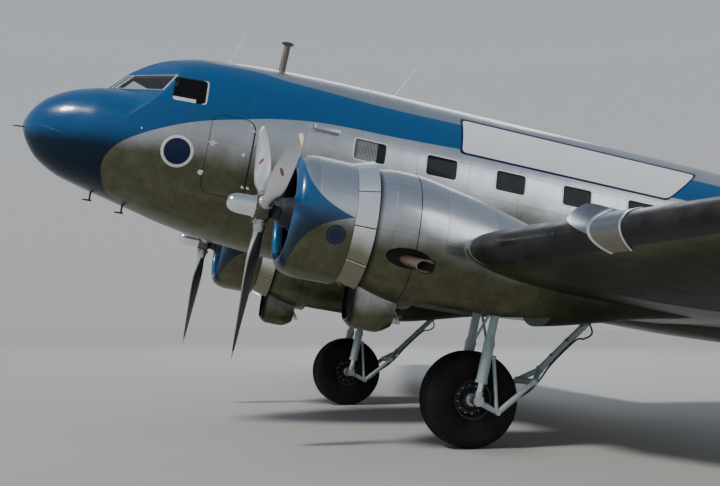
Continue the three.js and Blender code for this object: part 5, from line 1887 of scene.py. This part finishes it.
def tyre_body(tyre, ribs):
    """A balloon tyre with grooves round its tread, about the y axis at the origin."""
    radius, half, rim = tyre["radius"], tyre["width"] / 2, tyre["rim"]
    wall = radius - rim
    shares = (
        (0.7, 0), (0.82, 0.06), (0.93, 0.22), (0.985, 0.42), (1, 0.55),
        (0.985, 0.72), (0.92, 0.86), (0.8, 0.945), (0.62, 0.985))
    side = smoothed([(half * out, 0, rim + wall * up) for out, up in shares], 4)
    side = [(point.x, point.z) for point in side]
    tread = []
    for i in range(ribs):
        y = half * 0.54 - half * 1.08 * (i / (ribs - 1))
        width = half * 1.08 / (ribs - 1) * 0.3
        bulge = radius - wall * 0.02 * (abs(y) / (half * 0.5)) ** 2
        tread += [
            (y + width, bulge), (y + width * 0.7, bulge - 0.012), (y - width * 0.7, bulge - 0.012),
            (y - width, bulge)]
    outline = [*side, *tread, *[(-y, r) for y, r in reversed(side)]]
    outline += [(-half * 0.62, rim - 0.01), (half * 0.62, rim - 0.01)]
    return lathe(outline, 96, spun(pi / 2, "Z"))


def wheel_body(tyre, hub_half, bore, hub):
    """A cast wheel: rim flanges, a dished web and a hub."""
    half, rim = tyre["width"] / 2, tyre["rim"]
    outline = [
        (hub_half, bore), (hub_half, hub * 0.8), (hub_half * 0.94, hub), (half * 0.36, hub + rim * 0.12),
        (half * 0.3, rim * 0.55), (half * 0.32, rim * 0.76), (half * 0.46, rim - 0.028),
        (half * 0.7, rim - 0.016), (half * 0.745, rim + 0.004), (half * 0.745, rim + 0.014),
        (half * 0.7, rim + 0.01), (half * 0.66, rim - 0.006)]
    full = outline + [(-y, r) for y, r in reversed(outline)]
    return lathe(full, 72, spun(pi / 2, "Z"))


def bolts_round(count, radius, ys, size):
    found = []
    for i in range(count):
        angle = tau * (i + 0.5) / count
        x, z = radius * cos(angle), radius * sin(angle)
        found.append(rod((x, ys[0], z), (x, ys[1], z), size, sides=6))
    return found


def build_wheels(settings):
    """Builds the wheels and tyres"""
    for name, side in SIDES:
        place = shift(AXLE + xyz(0, side * ENGINE_Y, 0))
        body = f"wheel_assembly_{name}"
        add_piece(
            f"tyre_{name}", moved(tyre_body(TYRE, 9), place), "tread_rubber",
            f"main_tyre_{name}", body)
        parts = Shapes()
        parts.put(0, wheel_body(TYRE, 0.125, 0.0404, 0.095))
        for end in (-1, 1):
            parts += [painted(bolt, 2) for bolt in bolts_round(12, 0.165, (end * 0.066, end * 0.082), 0.009)]
            cap = lathe(
                [(0.118, 0.042), (0.118, 0.078), (0.134, 0.074), (0.142, 0.058), (0.142, 0.042)], 48,
                spun(pi / 2 * (1 if end > 0 else -1), "Z"))
            parts.put(2, cap)
        drum = lathe(
            [(0.05, 0.1), (0.05, 0.19), (0.078, 0.19), (0.084, 0.18), (0.084, 0.1)], 64,
            spun(pi / 2, "Z"))
        parts.put(1, drum)
        add_piece(
            f"wheel_{name}", moved(joined(*parts), place), "black_enamel oily_steel bare_alloy",
            f"main_wheel_{name}", body)
    place = shift(TAIL_AXLE)
    add_piece(
        "small_tyre", moved(tyre_body(TAIL_TYRE, 5), place), "tread_rubber", "tail_tyre",
        "tail_wheel_assembly")
    parts = Shapes()
    parts.put(0, wheel_body(TAIL_TYRE, 0.062, 0.0184, 0.042))
    for end in (-1, 1):
        parts += [painted(bolt, 1) for bolt in bolts_round(6, 0.075, (end * 0.026, end * 0.036), 0.006)]
    add_piece(
        "small_wheel", moved(joined(*parts), place), "gear_enamel bare_alloy", "tail_wheel",
        "tail_wheel_assembly")


@both_sides
def build_gear(name, side):
    """Builds the shock legs and drag braces"""
    parts = Shapes()
    for end in (-1, 1):
        y = xyz(0, side * ENGINE_Y + end * LEG_SPREAD, 0)
        top, low = LEG_TOP + y, AXLE + y
        for first, last, radius, slot in (
            (0, 0.58, 0.05, 0), (0.545, 0.565, 0.06, 0), (0.56, 0.865, 0.064, 0), (0.575, 0.59, 0.07, 0),
            (0.845, 0.87, 0.071, 0), (0.3, 0.32, 0.058, 0), (0.865, 0.965, 0.042, 1), (0.93, 1, 0.05, 2),
        ):
            parts.rod(slot, top.lerp(low, first), top.lerp(low, last), radius, sides=32)
        parts.rod(2, low - xyz(0, 0.045, 0), low + xyz(0, 0.045, 0), 0.062, sides=32)
        lug = DRAG_LUG + y
        parts.rod(0, low, lug, 0.04, 0.026, sides=24)
        parts.rod(2, lug - xyz(0, 0.036, 0), lug + xyz(0, 0.036, 0), 0.03, sides=24)
        other = xyz(0, side * ENGINE_Y - end * LEG_SPREAD, 0)
        high = LEG_TOP.lerp(AXLE, 0.24) + y
        across = LEG_TOP.lerp(AXLE, 0.62) + other
        parts.rod(0, high, across, 0.016, sides=16)
        hold = LEG_TOP.lerp(AXLE, 0.66) + y
        parts.rod(0, hold + xyz(0.085, 0, 0), lug + xyz(-0.01, 0, 0.02), 0.022, sides=16)
        parts.rod(0, hold, hold + xyz(0.11, 0, -0.02), 0.026, sides=16)
    centre = AXLE + xyz(0, side * ENGINE_Y, 0)
    reach = xyz(0, LEG_SPREAD + 0.03, 0)
    parts.rod(2, centre - reach, centre + reach, 0.04, sides=32)
    for end in (-1, 1):
        tip = centre + reach * end
        parts.rod(2, tip, tip + xyz(0, end * 0.018, 0), 0.052, 0.046, sides=6)
    add_piece(
        f"shock_legs_{name}", parts, "gear_enamel polished_alloy bare_alloy",
        f"gear_legs_{name}")
    join, top = xyz(6.56, side * ENGINE_Y, -2.09), xyz(7.13, side * ENGINE_Y, -1.39)
    parts = Shapes()
    parts.rod(0, join, top, 0.042, sides=32)
    bend = xyz(6.4, side * ENGINE_Y, -2.255)
    across = xyz(0, 0.24, 0)
    parts.rod(0, bend - across, bend + across, 0.04, sides=24)
    for end in (-1, 1):
        elbow = bend + across * end
        lug = DRAG_LUG + xyz(0, side * ENGINE_Y + end * LEG_SPREAD, 0)
        start = lug.lerp(elbow, 0.05)
        parts.rod(0, start, elbow, 0.034, sides=24)
        parts.rod(0, elbow, join, 0.034, sides=24)
        parts.put(0, ball(shift(elbow), 0.042))
    parts.put(0, ball(shift(join), 0.052))
    hose = smoothed(
        [
            Vector(point) + xyz(0, side * ENGINE_Y, 0)
            for point in (
                (6.18, -0.25, -2.5), (6.33, -0.29, -2.36), (6.48, -0.2, -2.22), (6.64, -0.075, -2.04),
                (6.8, -0.055, -1.84), (6.96, -0.06, -1.66), (7.02, -0.12, -1.64), (7.11, -0.13, -1.56),
                (7.09, -0.07, -1.44), (7.04, -0.03, -1.36))],
        6)
    parts.put(2, sweep(hose, 0.011, 10))
    for share in (0.25, 0.55, 0.85):
        at = join.lerp(top, share)
        way = (top - join).normalized() * 0.012
        parts.rod(1, at - way, at + way, 0.048, sides=24)
    add_piece(
        f"drag_brace_{name}", parts, "gear_enamel bare_alloy black_hose", f"drag_strut_{name}")


def build_tail_wheel(settings):
    """Builds the tail wheel's fork and leg"""
    upright = spun(-GROUND_ANGLE, "Y")
    frame_at = shift(TAIL_AXLE) @ upright
    parts = Shapes()
    parts.rod(1, (-0.11, 0, 0.33), (-0.11, 0, 0.48), 0.032, sides=32)
    for end in (-1, 1):
        line = smoothed(
            [
                (0, end * 0.125, 0), (-0.03, end * 0.127, 0.09), (-0.08, end * 0.12, 0.24),
                (-0.11, end * 0.07, 0.325), (-0.11, 0, 0.335)],
            8)
        parts.put(0, sweep(line, [0.02 + 0.004 * min(1, i / 20) for i in range(len(line))], 20))
    parts.rod(2, (0, -0.14, 0), (0, 0.14, 0), 0.0182, sides=24)
    for end in (-1, 1):
        parts.rod(2, (0, end * 0.138, 0), (0, end * 0.152, 0), 0.028, sides=6)
    fork = moved(joined(*parts), frame_at)
    add_piece(
        "castor_fork", fork, "gear_enamel polished_alloy bare_alloy", "tail_wheel_fork",
        "tail_wheel_swivel")
    leg = Shapes()
    leg.rod(0, (-0.11, 0, 0.361), (-0.11, 0, 0.5), 0.056, sides=32)
    leg.rod(0, (-0.11, 0, 0.48), (-0.16, 0, 0.95), 0.05, 0.06, sides=32)
    leg.rod(1, (-0.11, 0, 0.361), (-0.11, 0, 0.385), 0.066, sides=32)
    add_piece(
        "castor_leg", moved(joined(*leg), frame_at), "gear_enamel bare_alloy",
        "tail_wheel_strut")


# Aerials and small fittings


def build_aerials(settings):
    """Builds the aerials"""
    mast = Shapes()
    mast.rod(0, (3.272, 0, 1.38), (3.296, 0, 1.905), 0.052, 0.044, sides=32)
    cap = lathe(
        [(0, 0), (0, 0.046), (0.012, 0.06), (0.024, 0.088), (0.034, 0.09), (0.042, 0.06), (0.046, 0)], 32)
    mast.put(0, moved(cap, shift((3.296, 0, 1.9)) @ spun(-pi / 2, "Y")))
    foot = lathe([(0, 0), (0, 0.095), (0.01, 0.092), (0.03, 0.056), (0.03, 0)], 32)
    mast.put(1, moved(foot, shift((3.274, 0, 1.462)) @ spun(-pi / 2, "Y")))
    for end in (-1, 1):
        mast.rod(2, (3.33, end * 0.04, 1.925), (3.64, end * 0.11, 1.94), 0.004, 0.002, sides=8)
    mast.rod(2, (3.33, 0, 1.9), (3.7, 0, 1.87), 0.004, 0.002, sides=8)
    add_piece("mast", mast, "mast_brown bare_alloy white_enamel", "aerial_mast")
    whips = Shapes()
    for foot, tip in (((2.51, 0, 1.40), (2.71, 0, 2.00)), ((4.95, 0, 1.48), (5.28, 0, 2.09))):
        whips.rod(0, foot, tip, 0.01, 0.004, sides=10)
        whips.rod(0, foot, Vector(foot).lerp(Vector(tip), 0.14), 0.03, 0.013, sides=16)
    add_piece("whip_aerials", whips, "white_enamel")


def build_fittings(settings):
    """Builds the small fittings on the fuselage"""
    parts = Shapes()
    parts.rod(0, (-0.12, 0, -0.045), (0.03, 0, -0.03), 0.008, 0.012, sides=16)
    parts.rod(0, (-0.055, -0.055, -0.043), (-0.055, 0.055, -0.043), 0.004, sides=8)
    for x, y in ((1.020, 0.080), (1.460, -0.080)):
        belly = fuselage_at(x)[3]
        parts.rod(0, (x, y, belly + 0.03), (x, y, belly - 0.11), 0.016, 0.012, sides=16)
        parts.rod(0, (x - 0.09, y, belly - 0.112), (x + 0.03, y, belly - 0.108), 0.009, 0.015, sides=16)
    for side in (-1, 1):
        for x, z, radius in (
            (2.318, -0.318, 0.034), (2.81, 0.001, 0.024), (3.3, -0.25, 0.024), (1.5, 0.1, 0.016),
        ):
            button = lathe(
                [
                    (-0.004, 0), (-0.004, radius), (0.004, radius), (0.009, radius * 0.8),
                    (0.01, radius * 0.55), (0.005, radius * 0.45), (0.005, 0)],
                28)
            parts.put(1, moved(button, skin_frame(x, z, side)))
    grip = joined(
        rod((0, 0, 0), (0.004, 0, 0), 0.034, sides=24), rod((0, 0, 0), (0.03, 0, 0), 0.011, sides=16),
        block((0.022, -0.06, -0.01), (0.034, 0.06, 0.01), 0.004))
    parts.put(1, moved(grip, skin_frame(2.4, 0.075, -1)))
    wire = [skin_point(2.345, 0.35 - 0.035 * i, -1) + xyz(0, -0.004, 0) for i in range(8)]
    parts.put(2, sweep(wire, 0.003, 6))
    for height in (-0.400, 0.330):
        for end in (-0.5, 0.5):
            hinge = block((-0.002, -0.022, -0.018), (0.007, 0.022, 0.018), 0.003)
            parts.put(1, moved(hinge, skin_frame(2.915 + end * 0.07, height, -1)))
    shell = block((-0.015, -0.175, -0.042), (0.062, 0.175, 0.042), 0.014)
    mouth = block((0.006, -0.2, -0.03), (0.05, -0.06, 0.03), 0.006)
    scoop = combine(painted(shell, 3), painted(mouth, 2))
    turn = spun(pi, "X")
    frame_at = skin_frame(3.83, 0.562, -1)
    aft = frame_at.to_3x3() @ xyz(0, 1, 0)
    parts.append(moved(scoop, frame_at @ turn if aft.x < 0 else frame_at))
    add_piece("small_fittings", parts, "oily_steel polished_alloy black_enamel bare_alloy")


def linked(name, data):
    """A new object in the scene."""
    thing = bpy.data.objects.new(name, data)
    bpy.context.scene.collection.objects.link(thing)
    return thing


def build_stage(settings):
    """Sets the camera, floor and lights"""
    yaw, pitch, roll = radians(15.39), radians(4.25), radians(1.22)
    forward = xyz(sin(yaw) * cos(pitch), cos(yaw) * cos(pitch), sin(pitch))
    right = xyz(cos(yaw), -sin(yaw), 0)
    up = right.cross(forward)
    right, up = cos(roll) * right + sin(roll) * up, -sin(roll) * right + cos(roll) * up
    slope = Matrix.Rotation(radians(0.9), 3, "Y")
    camera = linked("camera", bpy.data.cameras.new("camera"))
    camera.matrix_world = axes(slope @ right, slope @ up, slope @ -forward, (-9.004, -13.856, 1.556))
    camera.data.sensor_width = 36
    camera.data.lens = 36 * 998.2 / 720
    camera.data.clip_start, camera.data.clip_end = 0.05, 400
    bpy.context.scene.camera = camera
    floor = bmesh.new()
    bmesh.ops.create_circle(floor, cap_ends=True, segments=96, radius=90)
    mesh = bpy.data.meshes.new("floor")
    floor.to_mesh(mesh)
    floor.free()
    graph = Graph(bpy.data.materials.new("studio_floor"))
    colour = graph.mix(graph.noise(graph.place(), 0.5, 4), (0.36, 0.36, 0.353, 1), (0.4, 0.4, 0.393, 1))
    mesh.materials.append(graph.finish(Base_Color=colour, Roughness=0.75))
    ground = linked("floor", mesh)
    ground.location.z = -0.002
    world = bpy.data.worlds.new("studio")
    graph = Graph(world)
    height = graph.split(graph.value("TexCoord", output="Generated"))[2]
    ramp = graph.node("ValToRGB", {0: height})
    ramp.color_ramp.elements.new(0.25)
    colours = (0.8, 0.81, 0.82), (0.78, 0.83, 0.9), (0.36, 0.45, 0.6)
    for stop, colour in zip(ramp.color_ramp.elements, colours):
        stop.color = rgb(colour)
    light = graph.value("Background", {"Color": Signal(graph, ramp.outputs[0]), "Strength": 0.58})
    graph.node("OutputWorld", {"Surface": light})
    bpy.context.scene.world = world
    for label, kind, place, energy, size, colour in (
        ("key", "SUN", (-22.6, -6.0, 25.0), 3.2, 0.16, (1.0, 0.97, 0.92)),
        ("fill", "AREA", (14, -24, 12), 1300, 16.0, (0.93, 0.96, 1.0)),
        ("back", "AREA", (6, 26, 16), 1500, 16.0, (0.95, 0.97, 1.0)),
    ):
        data = bpy.data.lights.new(label, kind)
        data.energy, data.color = energy, colour
        setattr(data, "angle" if kind == "SUN" else "size", size)
        lamp = linked(label, data)
        lamp.location = place
        lamp.rotation_mode = "QUATERNION"
        lamp.rotation_quaternion = (xyz(-3, 0, 2) - Vector(place)).to_track_quat("-Z", "Y")


# Add-on


def colour_property(name, description, default):
    return bpy.props.FloatVectorProperty(
        name=name, description=description, subtype="COLOR", size=3, default=default, min=0, max=1,
    )


class AirlinerSettings(bpy.types.PropertyGroup):
    """Sizes and colours of the finished aircraft."""

    blue: colour_property("Blue", "Enamel of the nose, stripe and cowlings", (0.001, 0.064, 0.185))
    navy: colour_property("Navy", "Edge of the pale band, and the nose discs", (0.002, 0.010, 0.042))
    white: colour_property("White", "Pale band over the cabin windows", (0.64, 0.68, 0.71))
    metal: colour_property("Bare metal", "Aluminium skin", (0.66, 0.675, 0.70))
    # Dull metal is the colour of a painted reflection of the ground on aluminium turned down.
    dull_metal: colour_property("Dull metal", "Stained aluminium that faces the ground", (0.13, 0.133, 0.082))
    dope: colour_property("Doped fabric", "Fabric of the moving surfaces", (0.40, 0.415, 0.43))
    gear: colour_property("Gear enamel", "Landing gear paint", (0.36, 0.45, 0.46))
    panel_size: bpy.props.FloatVectorProperty(
        name="Panels", description="Length and height of the fuselage's sheets", unit="LENGTH", size=2,
        default=(0.76, 0.42), min=0.1, max=3,
    )


def operator(label, build):
    """An operator that runs one step of the build, named and described by the step's function."""
    name = build.__name__.removeprefix("build_")

    class Step(bpy.types.Operator):
        __doc__ = build.__doc__
        bl_idname = f"airliner.{name}"
        bl_label = label
        bl_options = {"REGISTER", "UNDO"}

        def execute(self, context):
            build(context.scene.airliner)
            return {"FINISHED"}

    Step.__name__ = f"AIRLINER_OT_{name}"
    return Step


STEPS = [operator(*step) for step in (
    ("Materials", build_materials),
    ("Fuselage", build_fuselage),
    ("Windows", build_glass),
    ("Cockpit", build_cockpit),
    ("Passenger Door", build_door),
    ("Wings", build_wings),
    ("Wing Fillets", build_fillets),
    ("Wing Edges", build_wing_edges),
    ("Tail", build_tail),
    ("Nacelles", build_nacelles),
    ("Cowlings", build_cowlings),
    ("Engines", build_engines),
    ("Propellers", build_propellers),
    ("Oil Coolers and Exhausts", build_under_engine),
    ("Wheels", build_wheels),
    ("Landing Gear", build_gear),
    ("Tail Wheel", build_tail_wheel),
    ("Aerials", build_aerials),
    ("Fittings", build_fittings),
    ("Stage", build_stage),
)]


class AIRLINER_PT_panel(bpy.types.Panel):
    """Sizes, colours and steps of the aircraft"""

    bl_label = "Propeller Airliner"
    bl_idname = "AIRLINER_PT_panel"
    bl_space_type = "VIEW_3D"
    bl_region_type = "UI"
    bl_category = "Airliner"

    def draw(self, context):
        for name in AirlinerSettings.__annotations__:
            self.layout.prop(context.scene.airliner, name)
        for step in STEPS:
            self.layout.operator(step.bl_idname)


CLASSES = (AirlinerSettings, *STEPS, AIRLINER_PT_panel)


def register():
    for cls in CLASSES:
        bpy.utils.register_class(cls)
    bpy.types.Scene.airliner = bpy.props.PointerProperty(type=AirlinerSettings)


def unregister():
    del bpy.types.Scene.airliner
    for cls in reversed(CLASSES):
        bpy.utils.unregister_class(cls)


def main():
    for item in [item for item in bpy.data.objects if item.name in ("Cube", "Light", "Camera")]:
        bpy.data.objects.remove(item)
    register()
    for step in STEPS:
        group, name = step.bl_idname.split(".")
        getattr(getattr(bpy.ops, group), name)()


if __name__ == "__main__":
    main()
